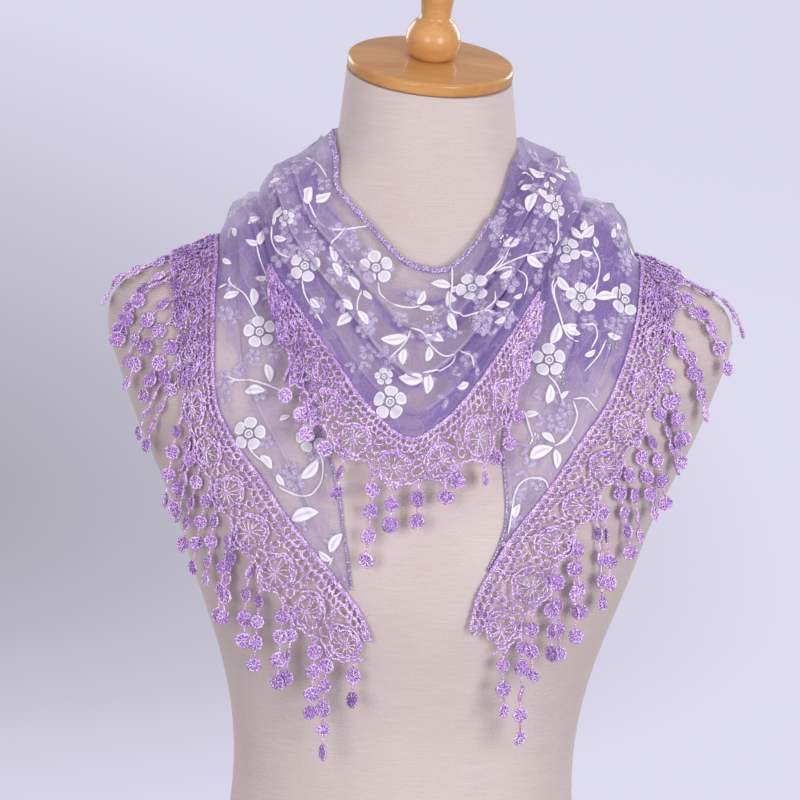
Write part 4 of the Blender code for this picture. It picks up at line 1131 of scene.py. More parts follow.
def pad(heap, ground, anchor, outline, middle, domes, rise, low, stitch_turn, rim=1.0):
    """A padded satin shape: rings from its outline in to its middle, each higher than the last."""
    flat = np.stack([outline * (1 - share) + middle * share for share in domes])
    lifts = [low + rise * math.sin(math.pi / 2 * min(1, 1.6 * share)) for share in domes]
    placed, _, known = laid_on(ground, anchor, flat, np.array(lifts)[:, None])
    if known.mean() < 0.93:
        return
    edge = np.interp(domes, (0.0, 0.14, 0.36, 1.0), (0.0, 0.0, 0.34, 0.30))
    edge = np.broadcast_to(edge[:, None], flat.shape[:2]).copy()
    edge[0] = rim
    heap.add(placed, net(len(domes), len(outline), True), turned_flat(flat, stitch_turn) * MM, edge)


def sewn_line(heap, ground, anchor, flat, lift, thick, closed=False, height=1.0):
    """A stitched line along a path, as far as there is cloth under it."""
    place, normal, known = laid_on(ground, anchor, flat, lift)
    if closed:
        if known.mean() > 0.8:
            cords(heap, place, normal, thick, 4, closed=True, stitched=True)
        return
    missing = np.flatnonzero(~known)
    middle = len(flat) // 2
    first = max([m + 1 for m in missing if m < middle], default=0)
    last = min([m for m in missing if m >= middle], default=len(flat))
    if last - first > 3:
        thick = np.broadcast_to(thick, len(flat))[first:last]
        cords(heap, place[first:last], normal[first:last], thick, 5, flat=height, stitched=True)


def petal_outline(length, width, count=20):
    """A round petal from its foot at 0 along +Y, widest beyond its middle."""
    turn = np.linspace(0, TURN, count, endpoint=False)
    y = 0.5 * length * (1 - np.cos(turn))
    x = 0.5 * width * np.sin(turn) * (0.80 + 0.20 * (1 - np.cos(turn)))
    return np.stack([x, y], axis=-1)


def flower(heaps, ground, anchor, size, turn, draw):
    """Five round petals that touch, with a stitched ring and a small eye, and dark lines between them."""
    white, line, _ = heaps
    inner = 0.15 * size
    length = 0.5 * size - inner
    petal_domes = (0.0, 0.12, 0.34, 0.70, 0.97)
    for number in range(5):
        angle = turn + number * TURN / 5 + draw.normal(0, 0.04)
        outline = petal_outline(length * draw.uniform(0.93, 1.06), 0.385 * size) + (0, inner)
        middle = turned_flat(np.array([[0, inner + 0.5 * length]]), angle)
        pad(white, ground, anchor, turned_flat(outline, angle), middle, petal_domes, 0.34, 0.34, angle, 0.30)
        between = np.array([[0, 1.1 * inner], [0, 0.22 * size], [0, 0.29 * size]])
        between = on_rows(np.linspace(0, 2, 5), turned_flat(between, angle + math.pi / 5))
        sewn_line(line, ground, anchor, between, 0.60, 0.20)
    ring = circle(18)
    sewn_line(line, ground, anchor, 1.10 * inner * ring, 0.80, 0.40, closed=True)
    sewn_line(white, ground, anchor, 0.70 * inner * ring, 0.85, 0.22 * inner, closed=True)
    pad(white, ground, anchor, 0.42 * inner * ring, np.zeros((1, 2)), (0.0, 0.35, 0.95), 0.2, 0.5, turn, 0.9)


def leaf(heaps, ground, anchor, length, turn, draw):
    """An almond leaf of slanted stitches with a groove along its middle."""
    along = np.linspace(0, 1, 11)
    across = np.array([-1, -0.8, -0.35, -0.08, 0.08, 0.35, 0.8, 1.0])
    dome = np.array([0, 0.6, 0.9, 0.5, 0.5, 0.9, 0.6, 0])
    groove = np.array([0.60, 0, 0.05, 0.42, 0.42, 0.05, 0, 0.60])
    half = 0.5 * LEAF_PLUMP * length * np.sin(math.pi * along ** 0.88) ** 0.8
    bend = 0.08 * length * draw.choice([-1, 1]) * np.sin(math.pi * along)
    x = half[:, None] * across
    y = length * (along - 0.5)[:, None] + 0 * x
    lift = 0.28 + 0.48 * (np.sin(math.pi * along) ** 0.5)[:, None] * dome
    flat = turned_flat(np.stack([x + bend[:, None], y], axis=-1), turn)
    placed, _, known = laid_on(ground, anchor, flat, lift)
    if known.mean() < 0.9:
        return
    slanted = np.stack([y - 0.8 * np.abs(x), x], axis=-1)
    inside = np.minimum(1, 4 * np.minimum(along, 1 - along))[:, None]
    heaps[0].add(placed, net(len(along), len(across)), slanted * MM, groove * inside)


def stem(heaps, ground, anchor, corners):
    """A stitched stem through corners given beside the anchor."""
    fine = np.linspace(0, len(corners) - 1, 9 * (len(corners) - 1) + 1)
    ends = np.minimum(1, 0.45 + 1.6 * np.minimum(fine, fine[::-1]))
    thick = STEM_THICK * ends * (1 + 0.12 * np.sin(3.1 * fine))
    sewn_line(heaps[0], ground, anchor, on_rows(fine, corners), 0.42, thick, height=0.7)


def shadow_sprig(heaps, ground, anchor, size, turn, draw):
    """A faint tone-on-tone blossom or leaf between the white ones."""
    # each petal's or leaf's turn, length, width, foot and middle as shares of the size, and stitch slant
    if draw.random() < 0.5:
        pads = [(turn + number * TURN / 5, 0.42, 0.36, 0.08, 0.30, math.pi / 2) for number in range(5)]
    else:
        pads = [(turn + side * 0.55, 0.62, 0.26, 0.0, 0.31, 0.0) for side in (-1, 1)]
    for angle, length, width, foot, centre, slant in pads:
        outline = petal_outline(length * size, width * size, 14) + np.array([0, foot * size])
        middle = turned_flat(np.array([[0, centre * size]]), angle)
        pad(heaps[2], ground, anchor, turned_flat(outline, angle), middle, SHADE_DOMES, 0.22, 0.12,
            angle + slant)


# ---------------------------------------------------------------- crochet border
REPEAT = 29.0          # length of one repeat of the border's pattern
BAND = 38.0            # width that the border's pattern is drawn on
BAND_REACH = 1.1       # share of its width to which the border's surface is made
WHEEL = 23.4           # how far across the band the wheels' middles lie
YARN_RISE = 0.7        # height of the yarn's middle above the cloth's underside
SEAM_NEAR = 6          # a border's line nearer than this to the cloth's seam is laid on the seam
LOOP_SIZES = ((14.2, 2.6, 2.2), (19.3, 2.5, 2.5), (24.6, 2.9, 2.6))    # place across, half width, half height
BARS = (-140, -115, -90, -65, -40, 36, 58, 90, 122, 144)    # degrees round a wheel at which its bars stand


class Border:
    """The border's surface: a place for each run along it and each share of its width."""

    def __init__(self, rows, seam, ruffle, gathered, seed):
        self.ruffle = ruffle
        self.gathered = gathered
        self.draw = np.random.default_rng(seed + 900)
        self.seed = seed
        middle = 0.5 * (rows[:, 0:3] + rows[:, 3:6])
        stations, self.repeats, self.length = even_stations(middle, REPEAT, REPEAT_STEPS)
        made = on_rows(stations, rows)
        # the first line follows the cloth's own seam
        near = np.linalg.norm(made[:, None, 0:3] - seam[None], axis=2)
        on_seam = (near.min(axis=1) < SEAM_NEAR)[:, None]
        first = np.where(on_seam, seam[near.argmin(axis=1)], seat(made[:, 0:3], made[:, 6])[0])
        for _ in range(3):
            first[1:-1] = 0.25 * first[:-2] + 0.5 * first[1:-1] + 0.25 * first[2:]
        share = np.linspace(0, BAND_REACH, BAND_STEPS)
        flat = first[:, None] + (made[:, 3:6] - first)[:, None] * share[None, :, None]
        gap = made[:, 6:7] + (made[:, 7:8] - made[:, 6:7]) * share[None]
        self.grid, self.away = seat(flat, gap)

    def at(self, s, w, h=0.0):
        """Places at s repeats along and w mm across (of the full width), h mm above the cloth's underside.

        The pattern wanders a little, as hand-hooked work does, and the band ruffles outwards.
        """
        s, w = np.broadcast_arrays(np.asarray(s, dtype=float), np.asarray(w, dtype=float))
        settled = np.clip(w / 10, 0, 1)
        ruffle = self.ruffle * settled * (1 + ripple(s * 4.5, w / 14, self.seed, closest=1.5)).clip(0, 2.2)
        s = s + 0.045 * settled * ripple(s * 9, w / 7, self.seed + 1, closest=1.5)
        w = w + 1.1 * settled * ripple(s * 9, w / 7, self.seed + 2, closest=1.5)
        i = np.clip(s * REPEAT_STEPS, 0, len(self.grid) - 1.001)
        j = np.clip(w / BAND / BAND_REACH * (BAND_STEPS - 1), 0, BAND_STEPS - 1.001)
        a, b = i.astype(int), j.astype(int)
        u, v = (i - a)[..., None], (j - b)[..., None]
        mixed = []
        for table in (self.grid, self.away):
            mixed.append(table[a, b] * (1 - u) * (1 - v) + table[a + 1, b] * u * (1 - v)
                         + table[a, b + 1] * (1 - u) * v + table[a + 1, b + 1] * u * v)
        away = unit(mixed[1])
        return mixed[0] + away * (h + YARN_RISE + ruffle)[..., None], away

    def yarn(self, heap, s, w, radius, h=0.0, closed=False, tone_and_shade=0.0):
        """Uneven yarn along the places, lighter where it lies more open and darker, with painted shade, where
        it is more gathered.
        """
        s, w = np.broadcast_arrays(np.asarray(s, dtype=float), np.asarray(w, dtype=float))
        place, away = self.at(s, w, h)
        place = place + self.draw.normal(0, 0.16, place.shape)
        radius = radius * self.draw.uniform(0.74, 1.28, s.shape)
        tone = tone_and_shade + self.draw.uniform(-0.20, 0.26, s.shape) + 0.22 * ripple(s * 2.5, w / 16, self.seed + 3)
        # painted shade where the border is gathered
        tone = tone + 0.26 * np.clip((self.gathered - s / self.repeats) / 0.12, 0, 1)
        cords(heap, place, away, radius, 4, tone_and_shade=tone, closed=closed)

    def ring(self, heap, s, w, across, along, radius, count=12, h=0.0, turn=0.0, lobes=(0, 0.0), tone_and_shade=0.0):
        """A loop of yarn round a place, with a number of lobes along it."""
        angle = np.linspace(0, TURN, count, endpoint=False)
        swell = 1 + lobes[1] * np.abs(np.cos(0.5 * lobes[0] * (angle - turn)))
        s = s + across * swell * np.cos(angle) / REPEAT
        w = w + along * swell * np.sin(angle)
        self.yarn(heap, s, w, radius, h, closed=True, tone_and_shade=tone_and_shade)


def wheel(border, heap, centre, draw):
    """A wheel: fine straight spokes from a small hub to a ring, inside a thick scalloped rim."""
    size = draw.uniform(0.94, 1.04)
    wide, tall = size * draw.uniform(0.95, 1.05, 2)
    turn = draw.uniform(0, TURN)
    spokes = 12
    between = turn + math.pi / spokes
    border.ring(heap, centre, WHEEL, 8.0 * wide, 8.0 * tall, 0.86, 60, 0.35, turn, (spokes, 0.20))
    border.ring(heap, centre, WHEEL, 7.0 * wide, 7.0 * tall, 0.50, 48, -0.1, between, (spokes, 0.16), 0.25)
    border.ring(heap, centre, WHEEL, 1.0, 0.7, 0.60, 8, 0.5)
    angle = turn + TURN * (np.arange(spokes) + draw.normal(0, 0.12, spokes)) / spokes
    reach = np.array([0.9, 3.1, 5.6, 8.1])[None, :] * draw.uniform(0.94, 1.03, (spokes, 1))
    s = centre + wide * reach * np.cos(angle)[:, None] / REPEAT
    w = WHEEL + tall * reach * np.sin(angle)[:, None]
    height = np.array([0.5, 0.5, 0.4, 0.3]) + 0 * s
    border.yarn(heap, s, w, np.array([0.50, 0.44, 0.44, 0.56]), height, tone_and_shade=-0.28)


def web(border, heap, centre, draw):
    """A thick arch over a wheel, and short bars round it."""
    over = np.radians(np.linspace(-165, -15, 22))
    border.yarn(heap, centre + 11.4 * np.cos(over) / REPEAT, WHEEL + 10.9 * np.sin(over), 0.80, h=0.2)
    for degrees in BARS:
        angle = math.radians(degrees + draw.normal(0, 4))
        last = 11.2 if degrees < 0 or degrees == 90 else 12.6
        r = np.linspace(8.9, last, 3)
        border.yarn(heap, centre + r * math.cos(angle) / REPEAT, WHEEL + r * math.sin(angle), 0.62)


def joints(border, heap, s, draw):
    """Loops of uneven size between two wheels."""
    for w, across, along in LOOP_SIZES:
        border.ring(heap, s + draw.normal(0, 0.008), w, across * draw.uniform(0.9, 1.1), along, 0.66, 14)


def heading(border, heap):
    """The braid along the whole seam and two rows of small round meshes below it."""
    run = np.linspace(0, border.repeats, border.repeats * 30 + 1)
    for strand in range(3):
        turn = run * REPEAT / 4.6 * TURN + strand * TURN / 3
        rise = 0.1 + 0.4 * np.cos(turn) * np.sin(turn)
        border.yarn(heap, run, 1.5 + 0.85 * np.sin(turn), 0.62, rise, tone_and_shade=0.05)
    for row, w in enumerate((4.6, 9.0)):
        for number in range(border.repeats * 6):
            s = (number + 0.5 + 0.5 * row) / 6
            if s < border.repeats - 0.05:
                border.ring(heap, s, w, 2.35, 2.3, 0.64, 12, h=0.1 * (number % 2))


def edge_at(run):
    """How far across the band its scalloped edge lies at a run along it."""
    return 32.0 + 2.9 * np.cos(TURN * (run - 0.5))


def edging(border, heap):
    """The scalloped outer edge: a cord with small picots."""
    run = np.linspace(0, border.repeats, border.repeats * 45 + 1)
    picot = np.abs(np.sin(math.pi * run * 6))
    border.yarn(heap, run, edge_at(run) + 0.9 * picot, 0.74 + 0.14 * (1 - picot), h=0.1)


def tangle(border, heap, reach, draw):
    """Loops bunched over one another where the border is gathered, up to that share of its length."""
    for _ in range(int(26 * border.repeats * reach)):
        share = reach * draw.random() ** 1.3
        s, w = share * border.repeats, draw.uniform(6, 33)
        across, along = draw.uniform(1.3, 3.6, 2)
        rise = draw.uniform(0.6, 1.9)
        border.ring(heap, s, w, across, along, 0.60, 12, rise, tone_and_shade=draw.uniform(-0.1, 0.35))


def lace_piece(name, rows, stretch, look, seed, ruffle, gathered, node):
    """The crochet border of one stretch, hooked of yarn on its solid's surface."""
    border = Border(rows, stretch["grid"][:, -1], ruffle, gathered, seed)
    draw = np.random.default_rng(seed)
    heap = Heap()
    heading(border, heap)
    edging(border, heap)
    for number in range(border.repeats):
        wheel(border, heap, number + 0.5, draw)
        web(border, heap, number + 0.5, draw)
        if number:
            joints(border, heap, float(number), draw)
    tangle(border, heap, gathered, draw)
    return finished(heap.piece(name, "tone_and_shade"), look, "lace", node), border


# ---------------------------------------------------------------- fringe
HANG_STEP = 1.5        # length of each step of a hanging strand
PRESS = 1.0            # how far above its gap a strand begins to slide along the form
DISC_HALF = 3.9        # how far from a disc's middle its cord ends


def hang(roots, outward, lean, length, gap):
    """Paths of strands that leave their roots outward, slide over the form and hang."""
    down = np.array([0, 0, -1.0])
    place = roots
    start_gap = off_form(roots)[0]
    paths = [place]
    for k in range(int(length / HANG_STEP) + 2):
        distance, away = off_form(place)
        share = lean[:, None] * max(0.0, 1 - k * HANG_STEP / TURN_DOWN)
        heading = outward * share + down * (1 - share)
        press = np.minimum(np.sum(heading * away, axis=1), 0)
        heading = unit(heading - away * (press * (distance < gap + PRESS))[:, None])
        place = place + heading * HANG_STEP
        distance, away = off_form(place)
        least = start_gap + (gap - start_gap) * min(1.0, (k + 1) * HANG_STEP / SINK)
        place = place + away * np.maximum(least - distance, 0)[:, None]
        paths.append(place)
    return np.stack(paths, axis=1)


def tilted(first, second, angle):
    """Two directions square to each other, turned together from the first towards the second."""
    c, s = math.cos(angle), math.sin(angle)
    return first * c + second * s, second * c - first * s


def rosette(heap, middle, across, heading, face, size, spin, draw):
    """A small crochet wheel: thick knobbly rim, thick stitches round a hub, and a dark disc behind them for
    painted shade.
    """
    tone = draw.uniform(-0.15, 0.25) + 0.28 * (draw.random() < 0.2)

    def ring(radius, count, rise=0.0, lobes=0.0):
        angle = spin + np.linspace(0, TURN, count, endpoint=False)
        r = size * (radius + lobes * np.cos(angle * 8) + draw.normal(0, 0.10, count))
        return (middle + (r * np.cos(angle))[:, None] * across + (r * np.sin(angle))[:, None] * heading
                + rise * face)

    def hooked(path, thick):
        thick = thick * draw.uniform(0.82, 1.2, path.shape[:-1])
        shade = tone + draw.uniform(-0.18, 0.22, path.shape[:-1])
        cords(heap, path, np.broadcast_to(face, path.shape), thick, 4, closed=path.ndim == 2, tone_and_shade=shade)

    hooked(ring(4.35, 24, 0.1, 0.25), 0.92 * size)
    hooked(ring(1.0, 8, 0.3), 0.70 * size)
    angle = spin + math.pi / 8 + TURN * np.arange(8) / 8 + draw.normal(0, 0.06, 8)
    way = np.cos(angle)[:, None] * across + np.sin(angle)[:, None] * heading
    reach = size * np.array([1.2, 2.7, 4.1])
    rise = np.array([0.2, 0.4, 0.15])
    hooked(middle + way[:, None] * reach[None, :, None] + face * rise[None, :, None], 0.72 * size)
    # a dark disc behind the stitches: painted shade that shows through the gaps between them
    ground = np.stack([ring(4.3, 12), ring(0.3, 12)])
    heap.add(ground, net(2, 12, True), np.zeros((24, 2)), 0.60)


def twisted_cord(heap, run, path, normal, start, end, first_turn, draw):
    """The two twisted plies of a strand between two runs along it."""
    along = np.linspace(start, end, max(4, int((end - start) / 1.1)))
    line = spots(along, run, path)
    up = spots(along, run, normal)
    beside = unit(np.cross(np.gradient(line, axis=0), up))
    turn = 1.9 * along + first_turn
    for ply in (0, math.pi):
        twist = 0.36 * (np.cos(turn + ply)[:, None] * beside + np.sin(turn + ply)[:, None] * up)
        thick = 0.50 * draw.uniform(0.85, 1.2, len(line))
        cords(heap, line + twist, up, thick, 4, tone_and_shade=draw.uniform(-0.15, 0.15, len(line)))


def hung_disc(heap, run, path, stop, draw):
    """A disc at a run along a strand, turned and tilted a little, more where it hangs free of the form."""
    middle = spots(stop, run, path)
    heading = unit(spots(stop + 2, run, path) - spots(stop - 2, run, path))
    distance, face = off_form(middle[None])
    face = unit(face[0] - heading * (face[0] @ heading))
    across = np.cross(heading, face)
    free = max(0.0, distance[0] - 1.0)
    across, face = tilted(across, face, draw.normal(0, min(0.6, 0.06 + 0.10 * free)))
    heading, face = tilted(heading, face, draw.normal(0, 0.12))
    size = draw.uniform(0.84, 1.04)
    rosette(heap, middle, across, heading, face, size, draw.uniform(0, TURN), draw)


def fringe_piece(name, border, rows, look, seed, skip, node):
    """Strands of crochet wheels on twisted cords, hung from the border's edge by small loops."""
    draw = np.random.default_rng(seed)
    heap = Heap()
    count = max(2, round(border.length / STRAND_PITCH))
    share = (np.arange(count) + 0.5) / count
    share = share[(share >= skip[0]) & (share <= skip[1])]
    share = np.clip(share + draw.normal(0, 0.12, len(share)) / count, 0.002, 0.998)
    s = share * border.repeats
    root_w = edge_at(s) + 1.0
    roots = border.at(s, root_w)[0]
    outward = unit(roots - border.at(s, root_w - 3)[0])
    made = smooth(share, rows[:, 0], rows[:, 1:])
    lean = (made[:, 0] * draw.uniform(0.85, 1.15, len(s))).clip(0, 1)
    discs = np.maximum(1, np.round(made[:, 1] + draw.uniform(-0.4, 0.4, len(s)))).astype(int)
    gap = made[:, 2] + 0.75 + STAGGER * (np.arange(len(s)) % 2)
    slack = draw.uniform(0.90, 1.12, len(s))
    paths = hang(roots, outward, lean, 1.2 * (discs.max() + 0.5) * DISC_PITCH, gap)
    for strand, path in enumerate(paths):
        run = np.arange(len(path)) * HANG_STEP
        normal = off_form(path)[1]
        side = unit(np.cross(np.gradient(path, axis=0), normal))
        sway = ripple(run / 30.0, 0 * run, seed * 1000 + strand, 1.2) * np.minimum(1, run / 12)
        path = path + side * (1.5 * sway)[:, None]
        pitch = DISC_PITCH * slack[strand]
        stops = [pitch * (k + 0.75 + draw.normal(0, 0.05)) for k in range(discs[strand])]
        for way in (-0.13, 0.13):
            at = np.clip(s[strand] + way, 0, border.repeats)
            foot = border.at(at, edge_at(at) + 0.8)[0]
            loop = np.stack([foot, 0.5 * (foot + spots(2.5, run, path)), spots(4.0, run, path)])
            cords(heap, loop, normal[:3], 0.58, 4)
        start = 1.0
        for stop in stops:
            end = min(stop - DISC_HALF, run[-1])
            if end > start + 0.8:
                twisted_cord(heap, run, path, normal, start, end, strand, draw)
            start = stop + DISC_HALF
            hung_disc(heap, run, path, stop, draw)
    return finished(heap.piece(name, "tone_and_shade"), look, "lace", node)


# ---------------------------------------------------------------- bindings
def binding_piece(name, stretch, rows, look, thick, node):
    """A three-strand braid along a cloth's first edge, over the rows that it is given."""
    path, inner = stretch["grid"][rows, 0], stretch["grid"][rows, 3]
    run = run_of(path)
    fine = np.linspace(0, run[-1], int(run[-1] / 0.75) + 1)
    line = spots(fine, run, path)
    away = off_form(line)[1]
    aside = unit(line - spots(fine, run, inner))
    heap = Heap()
    for strand in range(3):
        turn = fine / (3.1 * thick) * TURN / 1.4 + strand * TURN / 3
        place = (line + aside * (0.6 * thick + thick * 0.85 * np.sin(turn))[:, None]
                 + away * (thick * (0.55 + 0.5 * np.sin(turn) * np.cos(turn)))[:, None])
        cords(heap, place, away, 0.68 * thick * (1 + 0.2 * np.sin(2.3 * fine + strand)), 5)
    return finished(heap.piece(name, "tone_and_shade"), look, "binding", node)


# ---------------------------------------------------------------- the embroidery's places
def shown_at(across, down):
    """The point at SPRIG_DEPTH that shows at a place of the view, and the size of one step there."""
    eye = np.array(EYE) / MM
    tilt, roll = math.radians(EYE_RISE), math.radians(EYE_ROLL)
    ahead = np.array([0, math.cos(tilt), -math.sin(tilt)])
    upward = np.array([0, math.sin(tilt), math.cos(tilt)])
    steps = VIEW_SIDE * EYE_DISTANCE / VIEW_WIDTH
    right, below = across - VIEW_SIDE / 2, down - VIEW_SIDE / 2
    ray = ahead * steps - upward * (below * math.cos(roll) - right * math.sin(roll))
    ray[0] = right * math.cos(roll) + below * math.sin(roll)
    return eye + ray * (SPRIG_DEPTH - eye[1]) / ray[1], (SPRIG_DEPTH + EYE_DISTANCE / MM) / steps


def sprigs(grounds, draw):
    """Embroiders the front from its tables, each shape on the cloth that lies foremost there."""
    heaps = {name: (Heap(), Heap(), Heap()) for name in grounds}
    eye = np.array(EYE) / MM

    def under(point):
        found = {name: ground.seen_from(eye, point) for name, ground in grounds.items()}
        name = min(found, key=lambda n: found[n][1])
        return (None, None) if found[name][0] is None else (name, found[name][0])

    for table, shape, grown, quarter in ((FLOWERS, flower, 1.05, 0.0), (LEAVES, leaf, 1.08, math.pi / 2)):
        for across, down, size, turn in table:
            point, step = shown_at(across, down)
            name, anchor = under(point)
            if name:
                turned = math.radians(turn) - quarter
                shape(heaps[name], grounds[name], anchor, size * step * grown, turned, draw)
    for corners in STEMS:
        points = np.array([shown_at(across, down)[0] for across, down in corners])
        name, anchor = under(points.mean(axis=0))
        if name is None:
            continue
        side, up, _ = hoop(anchor)
        flat = []
        for point in points:
            hit = under(point)[1]
            if hit is None:
                hit = np.array([point[0], anchor[1], point[2]])
            flat.append(((hit - anchor) @ side, (hit - anchor) @ up))
        stem(heaps[name], grounds[name], anchor, np.array(flat))
    return heaps


def shadow_sprigs(heaps, ground, stretch, count, draw):
    """Scatters faint sprigs over a stretch."""
    grid = stretch["grid"]
    for _ in range(count):
        i = int(draw.uniform(0.03, 0.97) * (grid.shape[0] - 1))
        j = int(draw.uniform(0.10, 0.93) * (grid.shape[1] - 1))
        shadow_sprig(heaps, ground, grid[i, j], draw.uniform(9, 14), draw.uniform(0, TURN), draw)


def hidden_sprigs(heaps, ground, stretch, pitch, draw):
    """Flowers, leaves and stems in the same manner on a stretch behind the neck."""
    grid = stretch["grid"]
    rows, columns = grid.shape[:2]
    length = np.linalg.norm(np.diff(grid[:, columns // 2], axis=0), axis=1).sum()
    count = max(1, round(length / pitch))
    for number in range(count):
        for share in (0.26, 0.72) if number % 2 else (0.48,):
            i = int((0.13 + 0.74 * (number + 0.5 + draw.uniform(-0.3, 0.3)) / count) * (rows - 1))
            anchor = grid[i, int((share + draw.uniform(-0.10, 0.10)) * (columns - 1))]
            turn = draw.uniform(0, TURN)
            flower(heaps, ground, anchor, draw.uniform(17, 21), turn, draw)
            for k in range(2):
                way = turn + k * 3.0 + draw.uniform(-0.4, 0.4)
                bent = [way + 0.06 * q * q for q in range(4)]
                corners = np.array([[math.cos(angle), math.sin(angle)] for angle in bent])
                stem(heaps, ground, anchor, corners * np.array([[10.0], [15.0], [20.0], [24.0]]))
                for at, bend in ((17.0, 1.1), (25.0, 0.2), (21.0, -1.0)):
                    foot = at * np.array([[math.cos(way + 0.2), math.sin(way + 0.2)]])
                    place, _, known = laid_on(ground, anchor, foot, 0)
                    if known.all():
                        leaf(heaps, ground, place[0], draw.uniform(9, 13), way + bend - math.pi / 2, draw)


def sequins(ground, places, draw):
    """Clusters of small round sequins: one in the middle, five round it and nine outside them."""
    heap = Heap()
    for anchor in places:
        for number in range(15):
            reach = 0.0 if number == 0 else 1.6 if number < 6 else 3.2
            angle = number * TURN / (5 if number < 6 else 9)
            middle = reach * np.array([math.cos(angle), math.sin(angle)]) + draw.normal(0, 0.25, 2)
            flat = np.stack([middle + 0.7 * circle(8), middle + 0.25 * circle(8)])
            lean = draw.normal(0, 0.35, 2)
            placed, _, known = laid_on(ground, anchor, flat, 0.45 + (flat - middle) @ lean)
            if known.all():
                heap.add(placed, net(2, 8, True), flat * MM)
    return heap


# ---------------------------------------------------------------- stage
FLOOR_RADIUS = 1.4     # metres, as are all of the stage's sizes
SWEEP = 3.2            # radius of the curve from the floor to the wall
SWEEP_TURNS = 14
WALL = 3.0             # height of the wall above the curve
LIGHTS = (
    # name, place, aim, size, power, colour
    ("key_left", (-1.0, -2.3, 0.70), (0, 0, 0.38), (0.9, 1.2), 20, (1.0, 0.97, 0.94)),
    ("key_right", (1.2, -2.2, 0.58), (0, 0, 0.38), (0.9, 1.2), 33, (1, 1, 1)),
    ("top", (0.2, -0.3, 2.4), (0, 0, 0.5), (1.4, 1.4), 8, (1, 1, 1)),
    ("back_left", (-1.7, 1.9, 1.5), (0, 0, 0.45), (1.2, 1.4), 25, (1, 1, 1)),
    ("back_right", (1.7, 1.9, 1.5), (0, 0, 0.45), (1.2, 1.4), 29, (1, 1, 1)),
)


def studio(paper):
    """A pale floor that curves up into a round backdrop, so that every side has the same ground."""
    bpy.ops.object.select_all(action="DESELECT")
    bpy.ops.mesh.primitive_circle_add(vertices=96, radius=FLOOR_RADIUS, fill_type="NGON", location=(0, 0, 0))
    floor = bpy.context.object
    floor.name = floor.data.name = "studio_floor"
    bpy.ops.object.mode_set(mode="EDIT")
    bpy.ops.mesh.select_all(action="SELECT")
    radius = FLOOR_RADIUS
    for number in range(1, SWEEP_TURNS + 1):
        angle = number / SWEEP_TURNS * math.pi / 2
        reach = FLOOR_RADIUS + SWEEP * math.sin(angle)
        rise = SWEEP * (math.cos(angle - math.pi / 2 / SWEEP_TURNS) - math.cos(angle))
        bpy.ops.mesh.extrude_region_move(TRANSFORM_OT_translate={"value": (0, 0, rise)})
        bpy.ops.transform.resize(value=(reach / radius, reach / radius, 1), center_override=(0, 0, 0))
        radius = reach
    bpy.ops.mesh.extrude_region_move(TRANSFORM_OT_translate={"value": (0, 0, WALL)})
    bpy.ops.mesh.delete(type="FACE")
    bpy.ops.mesh.select_all(action="SELECT")
    bpy.ops.mesh.normals_make_consistent(inside=True)
    bpy.ops.object.mode_set(mode="OBJECT")
    bpy.ops.object.shade_smooth()
    floor.data.materials.append(paper)
    for ray in ("visible_diffuse", "visible_glossy", "visible_shadow"):
        setattr(floor, ray, False)


def softbox(name, place, aim, size, power, colour):
    """A rectangular lamp that points at its aim."""
    light = bpy.data.lights.new(name, "AREA")
    light.shape = "RECTANGLE"
    light.size, light.size_y = size
    light.energy = power
    light.color = colour
    made = bpy.data.objects.new(name, light)
    made.location = place
    made.rotation_euler = (Vector(aim) - Vector(place)).to_track_quat("-Z", "Y").to_euler()
    bpy.context.scene.collection.objects.link(made)


def camera():
    """The camera at EYE, whose view is VIEW_WIDTH wide at AIM."""
    lens = bpy.data.cameras.new("studio_camera")
    lens.sensor_width = SENSOR
    lens.lens = SENSOR * EYE_DISTANCE / VIEW_WIDTH
    made = bpy.data.objects.new("studio_camera", lens)
    look = (Vector(AIM) - Vector(EYE)).to_track_quat("-Z", "Y").to_matrix().to_4x4()
    made.matrix_world = Matrix.Translation(EYE) @ look @ Matrix.Rotation(math.radians(EYE_ROLL), 4, "Z")
    bpy.context.scene.collection.objects.link(made)
    bpy.context.scene.camera = made


# ---------------------------------------------------------------- the whole scene
CLOTHS = (
    # stretch, its node, and what its sheet needs besides
    ("front", "front_drape", {}),
    ("left", "left_tail", {"crests": (0,)}),
    ("right", "right_tail", {"crests": (0,)}),
    ("over", "over_wrap", {"most": 0.8}),
    ("under", "under_wrap", {"most": 0.8}),
)
BORDERS = (
    # stretch, border, fringe, first and last strand, seed, ruffle, share gathered, node without its ending
    ("front", FRONT_LACE, FRONT_FRINGE, (0.17, 0.83), 101, 2.4, 0.34, "front"),
    ("left", LEFT_LACE, SIDE_FRINGE, (0, 1), 102, 0.9, 0.36, "left"),
    ("right", RIGHT_LACE, SIDE_FRINGE, (0, 1), 103, 0.9, 0.26, "right"),
    ("under", BACK_LEFT_LACE, BACK_FRINGE, (0.08, 1), 104, 0.9, 0.10, "back_left"),
    ("over", BACK_RIGHT_LACE, BACK_FRINGE, (0.06, 1), 105, 1.2, 0.10, "back_right"),
)
# Clusters of sequins: shares along a stretch's rows and across the number of columns that follows.
RIGHT_SEQUINS = (((0.30, 0.35), (0.36, 0.80), (0.46, 0.45), (0.62, 0.4)), 70)
FRONT_SEQUINS = (((0.30, 0.4), (0.52, 0.35), (0.63, 0.6), (0.75, 0.3), (0.86, 0.55), (0.2, 0.5)), 170)


